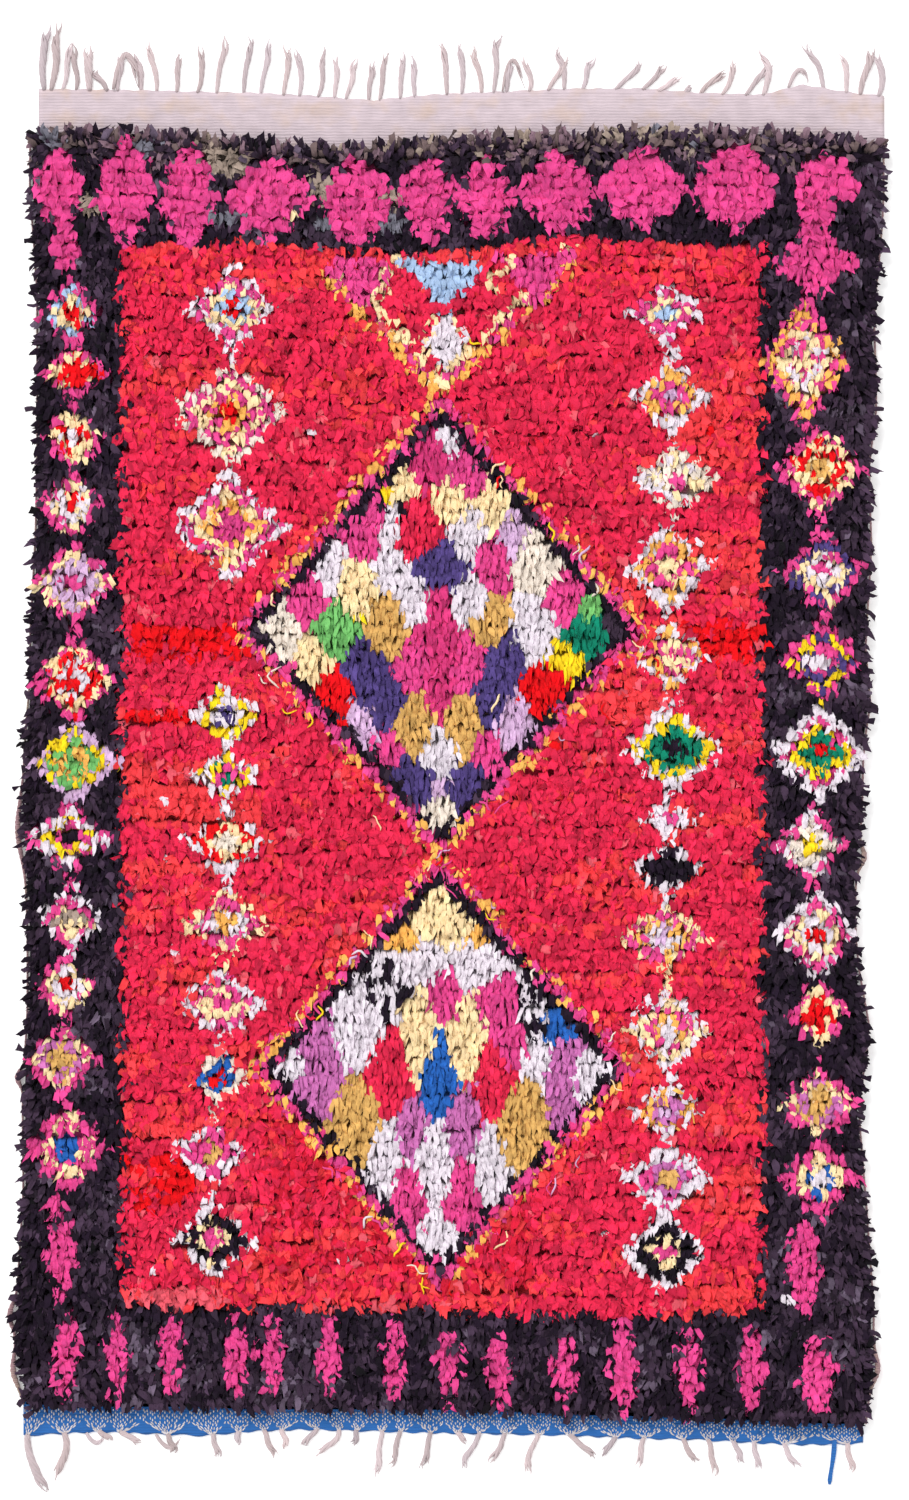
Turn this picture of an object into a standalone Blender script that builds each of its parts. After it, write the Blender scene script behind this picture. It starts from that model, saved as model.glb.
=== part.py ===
"""Boucherouite rug: a rag pile knotted on a woven ground, with a plain web and a warp fringe at each end.

Metres, +Z up. The rug lies on the plane Z = 0 with its length along Y and its white end at +Y.
The origin is the middle of the underside. The tables give the outline from the middle of the pile,
and each piece is then moved by the same step. The pile is one lumpy slab whose rim is drawn out into
locks. The two selvedges, the two end webs, the two fringes on their header strips and the loose rag
tail are pieces of their own.
"""

import math
import random
from typing import NamedTuple

import bmesh
import bpy
from mathutils import Vector, noise

SEED = 11
MIDDLE = (0.0018, 0.0192, 0.0)  # of the whole rug with its fringes, in the tables' coordinates
CLEARANCE = 0.0003  # between pieces that touch each other
WALL_GAP = 0.0009  # between the slab's wall and the pieces along it, whose corners differ

# The pile slab
PILE_HEIGHT = 0.0255  # mean height of the tuft tips
LUMP_HEIGHT = 0.0085  # how far the lumps rise and sink about it
LUMP_LENGTH = 0.085  # across one lump
LUMP_SQUASH = 0.7  # length over width of a lump, which follows the rows of knots
COARSE_SHARE = 0.75  # of the lump height
FINE_SHARE = 0.5
FINE_SCALE = 2.3  # coarse lumps over fine ones
RIM_HEIGHT = 0.0165  # top of the rim wall
LOCK_FLOOR = 0.0076  # underside of the rim locks, above the selvedge
PILE_ENDS = (-1.14, 1.10)  # about where the slab begins and ends, along the rug
CELLS_ACROSS = 32
CELLS_ALONG = 48
GROUND_INSET = 0.0115  # from the mean outline to the slab's own wall
END_INSET = 0.004  # the same at the two ends
LOCK_SHARE = 0.62  # share of the rim's faces that become locks
LOCK_REACH = (0.010, 0.024)  # shortest and longest
LOCK_TAPER = 0.42  # tip width over root width
LOCK_LIFT = 0.002  # how far a tip may rise or sink

# The selvedges, end webs and fringes
SELVEDGE_RADIUS = 0.0035
WEB_THICKNESS = 0.003
WHITE_WEB_ROWS = 2
BLUE_WEB_ROWS = 1
RIPPLE_HEIGHT = 0.0035  # how far the white web lifts off the floor between its contacts
RIPPLE_LENGTH = 0.21
RIPPLE_WANDER = (1.7, 3.1)  # by how many radians the ripples drift, and how fast across the rug
RIPPLE_RISE = 0.05  # distance from the pile over which they grow
RIPPLE_SHARE = 0.5  # of the height, where there is no pucker
PUCKER = (0.62, 0.05)  # where the web is bunched by a knotted warp end, and how wide
HEADER_WIDTH = 0.006  # the strip that the fringe grows from
STRAND_WIDTH = 0.0085
STRAND_HEIGHT = 0.0052
STRAND_STEPS = 4
TIP_WIDTH = 0.45  # of a strand's tip, over its width
TIP_HEIGHT = 0.5
ROOT_SWELL = 0.75  # width of a strand at its root
BODY_SWELL = 0.5  # how much wider it grows along its body
SWELL_SPAN = 1.15  # how soon the body narrows again
TAIL_WIDTH = 0.8  # of the rag tail, over a strand's width
LONGEST_CELL = 0.045  # of a web or header strip


class Side(NamedTuple):
    """The mean outline of the pile at one distance along the rug."""

    y: float
    left: float
    right: float


class End(NamedTuple):
    """The cross edges at one distance across the rug."""

    x: float
    white_edge: float
    pile_top: float
    pile_bottom: float
    blue_edge: float


class Strand(NamedTuple):
    """One bundle of warp ends: root across the rug, sideways lean, reach past the edge, and bow."""

    root: float
    lean: float
    reach: float
    bow: float = 0.0
    bulk: float = 1.0


SIDES = (
    Side(-1.16, -0.746, 0.737),
    Side(-1.02, -0.765, 0.752),
    Side(-0.94, -0.760, 0.753),
    Side(-0.76, -0.749, 0.740),
    Side(-0.59, -0.751, 0.726),
    Side(-0.45, -0.742, 0.746),
    Side(-0.33, -0.742, 0.724),
    Side(-0.23, -0.744, 0.719),
    Side(-0.08, -0.751, 0.732),
    Side(0.04, -0.746, 0.735),
    Side(0.12, -0.739, 0.747),
    Side(0.22, -0.737, 0.738),
    Side(0.39, -0.728, 0.749),
    Side(0.53, -0.725, 0.744),
    Side(0.64, -0.725, 0.758),
    Side(0.81, -0.725, 0.753),
    Side(0.90, -0.730, 0.763),
    Side(0.99, -0.738, 0.770),
    Side(1.12, -0.737, 0.770),
)

ENDS = (
    End(-0.78, 1.183, 1.110, -1.121, -1.176),
    End(-0.61, 1.182, 1.111, -1.127, -1.167),
    End(-0.43, 1.178, 1.103, -1.127, -1.174),
    End(-0.34, 1.176, 1.092, -1.132, -1.166),
    End(-0.25, 1.172, 1.084, -1.131, -1.163),
    End(-0.13, 1.163, 1.082, -1.131, -1.166),
    End(-0.03, 1.173, 1.090, -1.132, -1.169),
    End(0.09, 1.178, 1.103, -1.134, -1.171),
    End(0.20, 1.183, 1.104, -1.140, -1.173),
    End(0.34, 1.184, 1.111, -1.144, -1.179),
    End(0.44, 1.176, 1.108, -1.146, -1.181),
    End(0.55, 1.173, 1.108, -1.151, -1.187),
    End(0.62, 1.190, 1.106, -1.155, -1.190),
    End(0.71, 1.176, 1.096, -1.157, -1.188),
    End(0.78, 1.169, 1.089, -1.157, -1.184),
)

WHITE_WEB_SIDES = (-0.715, 0.764)
BLUE_WEB_SIDES = (-0.742, 0.727)

WHITE_STRANDS = (
    Strand(-0.706, 0.000, 0.122, 0.000, 1.3),
    Strand(-0.690, 0.011, 0.124, 0.004, 1.4),
    Strand(-0.670, 0.008, 0.084, 0.004),
    Strand(-0.648, -0.006, 0.088, 0.002),
    Strand(-0.622, -0.003, 0.079, -0.002, 1.9),
    Strand(-0.596, -0.014, 0.034),
    Strand(-0.577, 0.012, 0.066, -0.004),
    Strand(-0.536, -0.014, 0.064, 0.004),
    Strand(-0.509, -0.015, 0.088, 0.003),
    Strand(-0.474, 0.007, 0.072),
    Strand(-0.438, -0.005, 0.089, 0.012),
    Strand(-0.404, 0.014, 0.100),
    Strand(-0.357, 0.011, 0.105),
    Strand(-0.327, 0.016, 0.098),
    Strand(-0.287, 0.011, 0.092),
    Strand(-0.259, -0.003, 0.087, 0.003),
    Strand(-0.227, 0.004, 0.090, 0.008),
    Strand(-0.198, 0.005, 0.083),
    Strand(-0.178, 0.022, 0.076),
    Strand(-0.138, 0.005, 0.076),
    Strand(-0.119, 0.016, 0.096),
    Strand(-0.083, -0.002, 0.093, 0.003),
    Strand(-0.058, -0.010, 0.078, 0.003),
    Strand(-0.001, -0.014, 0.090, 0.003),
    Strand(0.025, 0.001, 0.090),
    Strand(0.059, -0.018, 0.086, 0.004),
    Strand(0.081, 0.008, 0.108),
    Strand(0.103, 0.010, 0.062),
    Strand(0.143, -0.014, 0.060, 0.008),
    Strand(0.179, 0.011, 0.075),
    Strand(0.206, 0.020, 0.060),
    Strand(0.236, 0.018, 0.058),
    Strand(0.293, 0.046, 0.050, 0.004),
    Strand(0.341, 0.046, 0.044),
    Strand(0.368, 0.042, 0.022),
    Strand(0.413, 0.018, 0.010),
    Strand(0.442, 0.042, 0.036, -0.004),
    Strand(0.480, 0.024, 0.063, 0.006),
    Strand(0.527, 0.030, 0.060, 0.006),
    Strand(0.556, 0.002, 0.078, 0.008),
    Strand(0.658, -0.034, 0.080, 0.006),
    Strand(0.698, -0.010, 0.071, 0.002),
    Strand(0.728, 0.016, 0.080, -0.002),
    Strand(0.756, -0.001, 0.078, 0.005),
)

BLUE_STRANDS = (
    Strand(-0.733, 0.022, 0.094, -0.004, 1.3),
    Strand(-0.671, -0.004, 0.072, 0.002),
    Strand(-0.610, 0.024, 0.016),
    Strand(-0.573, 0.040, 0.020),
    Strand(-0.489, 0.012, 0.034),
    Strand(-0.410, 0.008, 0.040),
    Strand(-0.364, -0.010, 0.022, 0.000, 1.3),
    Strand(-0.321, 0.020, 0.050),
    Strand(-0.291, 0.014, 0.034),
    Strand(-0.227, -0.028, 0.030),
    Strand(-0.190, -0.044, 0.044, 0.012),
    Strand(-0.159, -0.005, 0.026),
    Strand(-0.114, -0.012, 0.084),
    Strand(-0.082, -0.020, 0.062),
    Strand(-0.029, -0.012, 0.063, -0.003),
    Strand(0.017, 0.020, 0.016),
    Strand(0.057, -0.034, 0.064),
    Strand(0.101, -0.024, 0.052),
    Strand(0.160, -0.025, 0.070, -0.003),
    Strand(0.213, 0.042, 0.040, 0.004),
    Strand(0.295, -0.026, 0.030),
    Strand(0.344, -0.008, 0.052, -0.004),
    Strand(0.412, 0.024, 0.044),
    Strand(0.456, 0.007, 0.062, 0.004),
    Strand(0.500, 0.018, 0.040),
    Strand(0.537, 0.013, 0.054, -0.004),
    Strand(0.588, 0.024, 0.044),
    Strand(0.700, 0.006, 0.050),
)

BLUE_TAIL = Strand(0.680, -0.008, 0.074, 0.002, 0.8)

# Colour and roughness of each cloth
RED_RAG = ((0.62, 0.03, 0.06), 0.9)
MAUVE_YARN = ((0.45, 0.30, 0.32), 0.9)
WHITE_COTTON = ((0.72, 0.66, 0.64), 0.9)
BLUE_RAG = ((0.03, 0.14, 0.45), 0.85)


def clear_scene():
    """Removes every object of the open file."""
    for stray in list(bpy.data.objects):
        bpy.data.objects.remove(stray)


def fabric(name, finish):
    """A cloth material of one colour and roughness."""
    colour, roughness = finish
    material = bpy.data.materials.new(name)
    material.use_nodes = True
    shader = material.node_tree.nodes["Principled BSDF"]
    shader.inputs["Base Color"].default_value = (*colour, 1.0)
    shader.inputs["Roughness"].default_value = roughness
    shader.inputs["Metallic"].default_value = 0.0
    return material


def place(name, data, finish, collection):
    """Links a new object with its material, moved so that the middle of the rug is the origin."""
    piece = bpy.data.objects.new(name, data)
    piece.location = -Vector(MIDDLE)
    data.materials.append(fabric(name, finish))
    collection.objects.link(piece)
    return piece


def solid(name, bm, finish, collection):
    """Turns a closed bmesh into an object whose faces point out."""
    bmesh.ops.recalc_face_normals(bm, faces=bm.faces)
    mesh = bpy.data.meshes.new(name)
    bm.to_mesh(mesh)
    bm.free()
    return place(name, mesh, finish, collection)


def blend(rows, key, column, value):
    """Reads a column of a table at a value of its key, on straight lines between the rows."""
    if value <= getattr(rows[0], key):
        return getattr(rows[0], column)
    for low, high in zip(rows, rows[1:]):
        start, stop = getattr(low, key), getattr(high, key)
        if value <= stop:
            share = (value - start) / (stop - start)
            return getattr(low, column) * (1 - share) + getattr(high, column) * share
    return getattr(rows[-1], column)


def end_at(column, x):
    """One cross edge of the rug at x."""
    return blend(ENDS, "x", column, x)


def side_at(column, y):
    """One long edge of the rug at y."""
    return blend(SIDES, "y", column, y)


def ripple(x, y):
    """Lift of the white web off the floor. It fades out at the pile, which lies flat."""
    past_pile = max(0.0, y - end_at("pile_top", x) - END_INSET)
    rise = min(1.0, past_pile / RIPPLE_RISE)
    drift, rate = RIPPLE_WANDER
    wave = math.sin(2 * math.pi * x / RIPPLE_LENGTH + drift * math.sin(rate * x))
    middle, width = PUCKER
    pucker = math.exp(-(((x - middle) / width) ** 2))
    return RIPPLE_HEIGHT * rise * (RIPPLE_SHARE * max(0.0, wave) ** 2 + pucker)


def lump(x, y):
    """Height of the pile's surface over the floor."""
    point = Vector((x, y / LUMP_SQUASH, 0.0)) / LUMP_LENGTH
    coarse = COARSE_SHARE * noise.noise(point)
    fine = FINE_SHARE * noise.noise(point * FINE_SCALE)
    return PILE_HEIGHT + LUMP_HEIGHT * (coarse + fine)


def pile_point(across, along):
    """A point of the slab's outline grid, for shares of the width and the length from 0 to 1."""
    y = PILE_ENDS[0] * (1 - along) + PILE_ENDS[1] * along
    left = side_at("left", y) + GROUND_INSET
    right = side_at("right", y) - GROUND_INSET
    x = left * (1 - across) + right * across
    low = end_at("pile_bottom", x) + END_INSET
    high = end_at("pile_top", x) - END_INSET
    return x, low * (1 - along) + high * along


def turn_about_middle(face):
    """Angle of a face's middle about the rug's middle, which orders the rim the same way each time."""
    middle = face.calc_center_median()
    return round(math.atan2(middle.y, middle.x), 5)


def draw_out(bm, face, dice):
    """Draws one face of the rim wall out into a lock that tapers to its tip."""
    outward = face.normal.copy()
    outward.z = 0.0
    outward.normalize()
    tip = bmesh.ops.extrude_discrete_faces(bm, faces=[face])["faces"][0]
    middle = tip.calc_center_median()
    reach = dice.uniform(*LOCK_REACH)
    lift = dice.uniform(-LOCK_LIFT, LOCK_LIFT)
    for vert in tip.verts:
        arm = vert.co - middle
        vert.co = middle + LOCK_TAPER * arm + reach * outward + Vector((0, 0, lift))


def pile_cloth(collection):
    """The knotted pile with its ground: a lumpy slab with locks round its rim."""
    dice = random.Random(SEED)
    bm = bmesh.new()
    bmesh.ops.create_grid(bm, x_segments=CELLS_ACROSS, y_segments=CELLS_ALONG, size=0.5)
    for vert in bm.verts:
        x, y = pile_point(vert.co.x + 0.5, vert.co.y + 0.5)
        vert.co = Vector((x, y, RIM_HEIGHT if vert.is_boundary else lump(x, y)))
    rim = [edge for edge in bm.edges if edge.is_boundary]
    bmesh.ops.subdivide_edges(bm, edges=rim, cuts=1)
    rim = [edge for edge in bm.edges if edge.is_boundary]
    walls = []
    for height in (LOCK_FLOOR, 0.0):
        made = bmesh.ops.extrude_edge_only(bm, edges=rim)["geom"]
        for vert in made:
            if isinstance(vert, bmesh.types.BMVert):
                vert.co.z = height
        walls.append([face for face in made if isinstance(face, bmesh.types.BMFace)])
        rim = [edge for edge in bm.edges if edge.is_boundary]
    bmesh.ops.edgeloop_fill(bm, edges=rim)
    bmesh.ops.recalc_face_normals(bm, faces=bm.faces)
    for face in sorted(walls[0], key=turn_about_middle):
        if dice.random() < LOCK_SHARE:
            draw_out(bm, face, dice)
    bmesh.ops.triangulate(bm, faces=[face for face in bm.faces if len(face.verts) > 4])
    return solid("pile_cloth", bm, RED_RAG, collection)


def selvedge(name, column, collection):
    """The overcast warp cord along one long edge, beside the slab's wall."""
    outward = -1.0 if column == "left" else 1.0
    curve = bpy.data.curves.new(name, "CURVE")
    curve.dimensions = "3D"
    curve.bevel_depth = SELVEDGE_RADIUS
    curve.bevel_resolution = 2
    curve.use_fill_caps = True
    spline = curve.splines.new("POLY")
    spline.points.add(CELLS_ALONG)
    across = 0.0 if column == "left" else 1.0
    for row, point in enumerate(spline.points):
        x, y = pile_point(across, row / CELLS_ALONG)
        x += outward * (SELVEDGE_RADIUS + WALL_GAP)
        point.co = (x, y, SELVEDGE_RADIUS, 1.0)
    return place(name, curve, MAUVE_YARN, collection)


def sheet_between(bm, xs, low_edge, high_edge, rows, lift):
    """A thin sheet over the stations xs between two edge curves. It lifts off the floor where lift says."""
    bmesh.ops.create_grid(bm, x_segments=len(xs) - 1, y_segments=rows, size=0.5)
    columns = len(xs) - 1
    for vert in bm.verts:
        x = xs[round((vert.co.x + 0.5) * columns)]
        share = vert.co.y + 0.5
        y = low_edge(x) * (1 - share) + high_edge(x) * share
        vert.co = Vector((x, y, lift(x, y)))
    made = bmesh.ops.extrude_face_region(bm, geom=list(bm.faces), use_keep_orig=True)["geom"]
    for vert in made:
        if isinstance(vert, bmesh.types.BMVert):
            vert.co.z += WEB_THICKNESS


def stations(strands, low, high):
    """Where a web and its header strip have points: at the strands' roots and the outline's corners."""
    half = STRAND_WIDTH / 2
    marks = [low, high]
    marks += [strand.root - half for strand in strands]
    marks += [strand.root + half for strand in strands]
    gaps = [end.x for end in ENDS if low < end.x < high]
    marks += [x for x in gaps if all(abs(x - strand.root) > half for strand in strands)]
    marks.sort()
    fine = [low]
    for start, stop in zip(marks, marks[1:]):
        cells = math.ceil((stop - start) / LONGEST_CELL)
        fine += [start + (stop - start) * step / cells for step in range(1, cells + 1)]
    return fine


def flat(_x, _y):
    """No lift: the lower end lies flat on the floor."""
    return 0.0


def white_end_web(collection):
    """The plain cotton web past the upper end of the pile."""
    bm = bmesh.new()
    sheet_between(
        bm,
        stations(WHITE_STRANDS, *WHITE_WEB_SIDES),
        lambda x: end_at("pile_top", x) - END_INSET + WALL_GAP,
        lambda x: end_at("white_edge", x) - HEADER_WIDTH - CLEARANCE,
        WHITE_WEB_ROWS,
        ripple,
    )
    return solid("white_end_web", bm, WHITE_COTTON, collection)


def blue_end_web(collection):
    """The web of blue rag past the lower end of the pile."""
    bm = bmesh.new()
    sheet_between(
        bm,
        stations(BLUE_STRANDS, *BLUE_WEB_SIDES),
        lambda x: end_at("blue_edge", x) + HEADER_WIDTH + CLEARANCE,
        lambda x: end_at("pile_bottom", x) + END_INSET - WALL_GAP,
        BLUE_WEB_ROWS,
        flat,
    )
    return solid("blue_end_web", bm, BLUE_RAG, collection)


def grow_strand(bm, face, strand, edge_y, outward):
    """Extrudes a face of the header strip step by step along a strand that comes down to the floor."""
    for step in range(1, STRAND_STEPS + 1):
        face = bmesh.ops.extrude_discrete_faces(bm, faces=[face])["faces"][0]
        share = step / STRAND_STEPS
        middle = face.calc_center_median()
        spread = strand.lean * share + strand.bow * 4 * share * (1 - share)
        turn = strand.lean + strand.bow * 4 * (1 - 2 * share)
        across = Vector((strand.reach, -outward * turn, 0.0)).normalized()
        swell = ROOT_SWELL + BODY_SWELL * strand.bulk * math.sin(math.pi * min(1.0, SWELL_SPAN * share))
        half = STRAND_WIDTH / 2 * (TIP_WIDTH if step == STRAND_STEPS else swell)
        height = STRAND_HEIGHT * (TIP_HEIGHT if step == STRAND_STEPS else 1.0)
        centre = Vector((strand.root + spread, edge_y + outward * strand.reach * share, 0.0))
        for vert in face.verts:
            hand = 1.0 if vert.co.x > middle.x else -1.0
            top = height if vert.co.z > middle.z else 0.0
            vert.co = centre + hand * half * across + Vector((0, 0, top))


def fringe(name, strands, sides, edge_column, outward, lift, finish, collection):
    """A narrow header strip with its strands, as one solid."""
    bm = bmesh.new()
    xs = stations(strands, *sides)
    edges = [
        lambda x: end_at(edge_column, x),
        lambda x: end_at(edge_column, x) - outward * HEADER_WIDTH,
    ]
    if outward > 0:
        edges.reverse()
    sheet_between(bm, xs, *edges, 1, lift)
    bmesh.ops.recalc_face_normals(bm, faces=bm.faces)
    for strand in strands:
        edge_y = end_at(edge_column, strand.root)
        root = min(
            (face for face in bm.faces if face.normal.y * outward > 0.5),
            key=lambda face: (face.calc_center_median().xy - Vector((strand.root, edge_y))).length,
        )
        grow_strand(bm, root, strand, edge_y, outward)
    return solid(name, bm, finish, collection)


def rag_tail(collection):
    """The loose end of blue rag that hangs out past the lower edge, beside the header strip."""
    bm = bmesh.new()
    start = end_at("blue_edge", BLUE_TAIL.root) - WALL_GAP
    bmesh.ops.create_cube(bm, size=1.0)
    back = min(bm.faces, key=lambda face: face.calc_center_median().y)
    for vert in bm.verts:
        y = start - HEADER_WIDTH / 2 if vert in back.verts else start
        x = BLUE_TAIL.root + vert.co.x * TAIL_WIDTH * STRAND_WIDTH
        vert.co = Vector((x, y, (vert.co.z + 0.5) * WEB_THICKNESS))
    bmesh.ops.recalc_face_normals(bm, faces=bm.faces)
    grow_strand(bm, back, BLUE_TAIL, start, -1.0)
    return solid("blue_rag_tail", bm, BLUE_RAG, collection)


def build():
    """Makes every piece of the rug in one collection."""
    clear_scene()
    rug = bpy.data.collections.new("boucherouite_rug")
    bpy.context.scene.collection.children.link(rug)
    pile_cloth(rug)
    selvedge("selvedge_left", "left", rug)
    selvedge("selvedge_right", "right", rug)
    white_end_web(rug)
    blue_end_web(rug)
    fringe("white_fringe", WHITE_STRANDS, WHITE_WEB_SIDES, "white_edge", 1.0, ripple, WHITE_COTTON, rug)
    fringe("blue_end_fringe", BLUE_STRANDS, BLUE_WEB_SIDES, "blue_edge", -1.0, flat, WHITE_COTTON, rug)
    rag_tail(rug)


if __name__ == "__main__":
    build()
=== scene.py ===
"""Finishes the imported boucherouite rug: its rag pile and pattern, woven ground, selvedges, webs and fringes.

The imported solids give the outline. Each piece here is laid on that outline, in metres, in the same frame.
The pattern is a chart: a few named tables of lozenges, patches and pennants, in centimetres from the
chart's middle, which each rag tuft is coloured from.
"""

from __future__ import annotations

import logging
import math
from collections.abc import Callable, Mapping, Sequence
from dataclasses import dataclass
from enum import Enum, auto

import bmesh
import bpy
import numpy as np
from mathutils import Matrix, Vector, noise

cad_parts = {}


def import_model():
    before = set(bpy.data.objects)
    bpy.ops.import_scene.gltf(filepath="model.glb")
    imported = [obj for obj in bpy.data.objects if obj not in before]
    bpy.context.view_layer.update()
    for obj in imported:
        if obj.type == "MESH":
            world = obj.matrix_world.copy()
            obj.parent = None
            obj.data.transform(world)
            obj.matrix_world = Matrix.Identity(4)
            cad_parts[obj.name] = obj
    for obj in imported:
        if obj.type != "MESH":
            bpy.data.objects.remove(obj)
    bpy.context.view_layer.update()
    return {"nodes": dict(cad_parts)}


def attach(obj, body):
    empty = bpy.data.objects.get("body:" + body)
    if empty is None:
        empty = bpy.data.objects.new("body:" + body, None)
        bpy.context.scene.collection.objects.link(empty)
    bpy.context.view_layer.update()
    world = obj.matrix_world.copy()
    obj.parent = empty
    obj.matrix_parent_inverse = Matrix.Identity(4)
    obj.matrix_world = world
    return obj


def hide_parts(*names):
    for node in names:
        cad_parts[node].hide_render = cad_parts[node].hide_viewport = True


LOG = logging.getLogger("boucherouite_rug")
SEED = 20
CM = 0.01
MM = 0.001
Pair = tuple[float, float]

# The photograph, which the camera frames
PHOTO_HEIGHT_PX = 1500
METRES_PER_PX = 0.00175
PHOTO_MIDDLE = (0.0104, 0.0070)  # the point of the floor in the middle of the photograph
CHART_MIDDLE = (0.0, 2.1)  # the middle of the chart, in centimetres from the middle of the rug


@dataclass(frozen=True)
class Dye:
    """One kind of rag.

    key is its letter in the chart's tables. red, green and blue are its colour in daylight, from 0 to
    255, and spread is how much its rags differ in lightness.
    """

    key: str
    red: int
    green: int
    blue: int
    spread: float = 0.10

    def linear(self) -> np.ndarray:
        """The colour as three linear numbers from 0 to 1."""
        shown = np.array([self.red, self.green, self.blue]) / 255.0
        return np.where(shown <= 0.04045, shown / 12.92, ((shown + 0.055) / 1.055) ** 2.4)


class Rag(Enum):
    """The rags of the pile."""

    CRIMSON = Dye("r", 226, 39, 77, 0.16)
    CORAL = Dye("c", 242, 62, 70, 0.16)
    SCARLET = Dye("R", 236, 10, 22)
    DARK_RED = Dye("d", 214, 27, 56)
    SALMON = Dye("s", 234, 90, 106)
    JET = Dye("K", 28, 16, 32, 0.30)
    CHARCOAL = Dye("k", 60, 44, 62, 0.30)
    PLUM_BLACK = Dye("u", 94, 80, 98, 0.25)
    TAUPE = Dye("t", 124, 98, 110, 0.15)
    OLIVE = Dye("o", 110, 92, 92, 0.15)
    KHAKI = Dye("h", 160, 142, 130)
    SLATE = Dye("l", 120, 118, 131)
    HOT_PINK = Dye("P", 226, 70, 142, 0.09)
    MAGENTA = Dye("G", 213, 56, 121, 0.09)
    ORCHID = Dye("V", 200, 110, 176)
    LILAC = Dye("L", 214, 176, 214)
    WHITE_LILAC = Dye("W", 230, 219, 229, 0.05)
    IVORY = Dye("I", 236, 222, 208, 0.06)
    CREAM = Dye("C", 252, 222, 172, 0.06)
    YELLOW = Dye("Y", 252, 214, 30)
    ORANGE = Dye("O", 252, 184, 92)
    MUSTARD = Dye("M", 220, 172, 99)
    NAVY = Dye("N", 80, 64, 124, 0.15)
    BLUE = Dye("B", 38, 98, 182)
    SKY = Dye("S", 170, 196, 230, 0.06)
    TEAL = Dye("T", 6, 132, 104)
    LEAF = Dye("E", 116, 188, 106)


RAGS = list(Rag)
RAG_OF_KEY = {rag.value.key: number for number, rag in enumerate(RAGS)}
LINEAR = np.array([rag.value.linear() for rag in RAGS])
SPREAD = np.array([rag.value.spread for rag in RAGS])


def rag_numbers(keys: str) -> np.ndarray:
    """The numbers of the rags whose letters keys holds."""
    return np.array([RAG_OF_KEY[key] for key in keys])


class Zone(Enum):
    """The parts of the pattern, whose tufts are knotted and combed differently."""

    BORDER = auto()
    FIELD = auto()
    ROSETTES = auto()
    LOZENGES = auto()
    MEDALLIONS = auto()


@dataclass(frozen=True)
class Motif:
    """A filled shape of the chart, in centimetres from the chart's middle.

    rings holds the letters of its rags from the rim inwards.
    """

    x: float
    y: float
    half_width: float
    half_height: float
    rings: str

    def reach(self, x: np.ndarray, y: np.ndarray, roundness: float) -> np.ndarray:
        """How far out points lie: 0 in the middle and 1 on the rim.

        Args:
            x: Distances across the rug, in centimetres.
            y: Distances along it.
            roundness: 1 for a lozenge, 2 for an ellipse.

        Returns:
            One number for each point.
        """
        across = np.abs(x - self.x) / self.half_width
        along = np.abs(y - self.y) / self.half_height
        return (across**roundness + along**roundness) ** (1.0 / roundness)


@dataclass(frozen=True)
class Pennant:
    """A triangle that hangs point down from the top of the field, in centimetres."""

    x: float
    top: float
    half_width: float
    height: float
    key: str

    def holds(self, x: np.ndarray, y: np.ndarray) -> np.ndarray:
        """Which points lie in the triangle."""
        fall = (self.top - y) / self.height
        return (fall > 0) & (np.abs(x - self.x) / self.half_width + fall < 1.0)


@dataclass(frozen=True)
class Medallion:
    """A large lozenge filled with patches, in centimetres.

    x and y are where its widest and tallest lines cross. The other sizes run from there to its corners.
    """

    x: float
    y: float
    left: float
    right: float
    up: float
    down: float
    patches: tuple[Motif, ...]

    def depth(self, x: np.ndarray, y: np.ndarray) -> np.ndarray:
        """How far inside the outline points lie, in centimetres, less than 0 outside."""
        wide = np.where(x < self.x, self.left, self.right)
        tall = np.where(y < self.y, self.down, self.up)
        share = 1.0 - np.abs(x - self.x) / wide - np.abs(y - self.y) / tall
        return share * wide * tall / np.hypot(wide, tall)


@dataclass(frozen=True)
class Streak:
    """A stretch of the red field that was knotted from one lot of rags, in centimetres."""

    left: float
    right: float
    low: float
    high: float
    key: str
    share: float


# Where the red field meets the black border, as (x, y) corners in centimetres
FIELD_LEFT = -56.8
FIELD_RIGHT = 54.7
FIELD_TOP = (
    (-56.8, 86.8),
    (-35.0, 86.8),
    (-20.7, 85.6),
    (-1.5, 85.6),
    (7.3, 86.6),
    (19.5, 87.9),
    (54.7, 87.0),
)
FIELD_BOTTOM = ((-56.8, -97.0), (-48.7, -98.5), (-5.0, -99.2), (9.0, -100.1), (54.7, -100.1))
LONGEST_LINK = 7.0  # the widest gap between two lozenges of a column that a tuft joins
LOZENGE_ROUNDNESS = 1.0
SLIVER_ROUNDNESS = 1.25
ROSETTE_ROUNDNESS = 1.35
PATCH_ROUNDNESS = 2.0
BROWN_STRIP = 99.5  # above this the border's rags turn brown and grey
VEE_CORNERS = ((-21.6, 83.0), (-1.3, 61.6), (22.5, 86.0))
VEE_WIDTH = 1.9
VEE_BANDS = (("C", -9.0, -0.25), ("P", -0.25, 0.25), ("O", 0.25, 9.0))  # each rag's shares of the width
VEE_ARMS = (((-9.2, 84.6), (-13.4, 75.6)), ((11.6, 84.6), (7.4, 80.2)), ((7.4, 80.2), (11.2, 75.6)))

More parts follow.
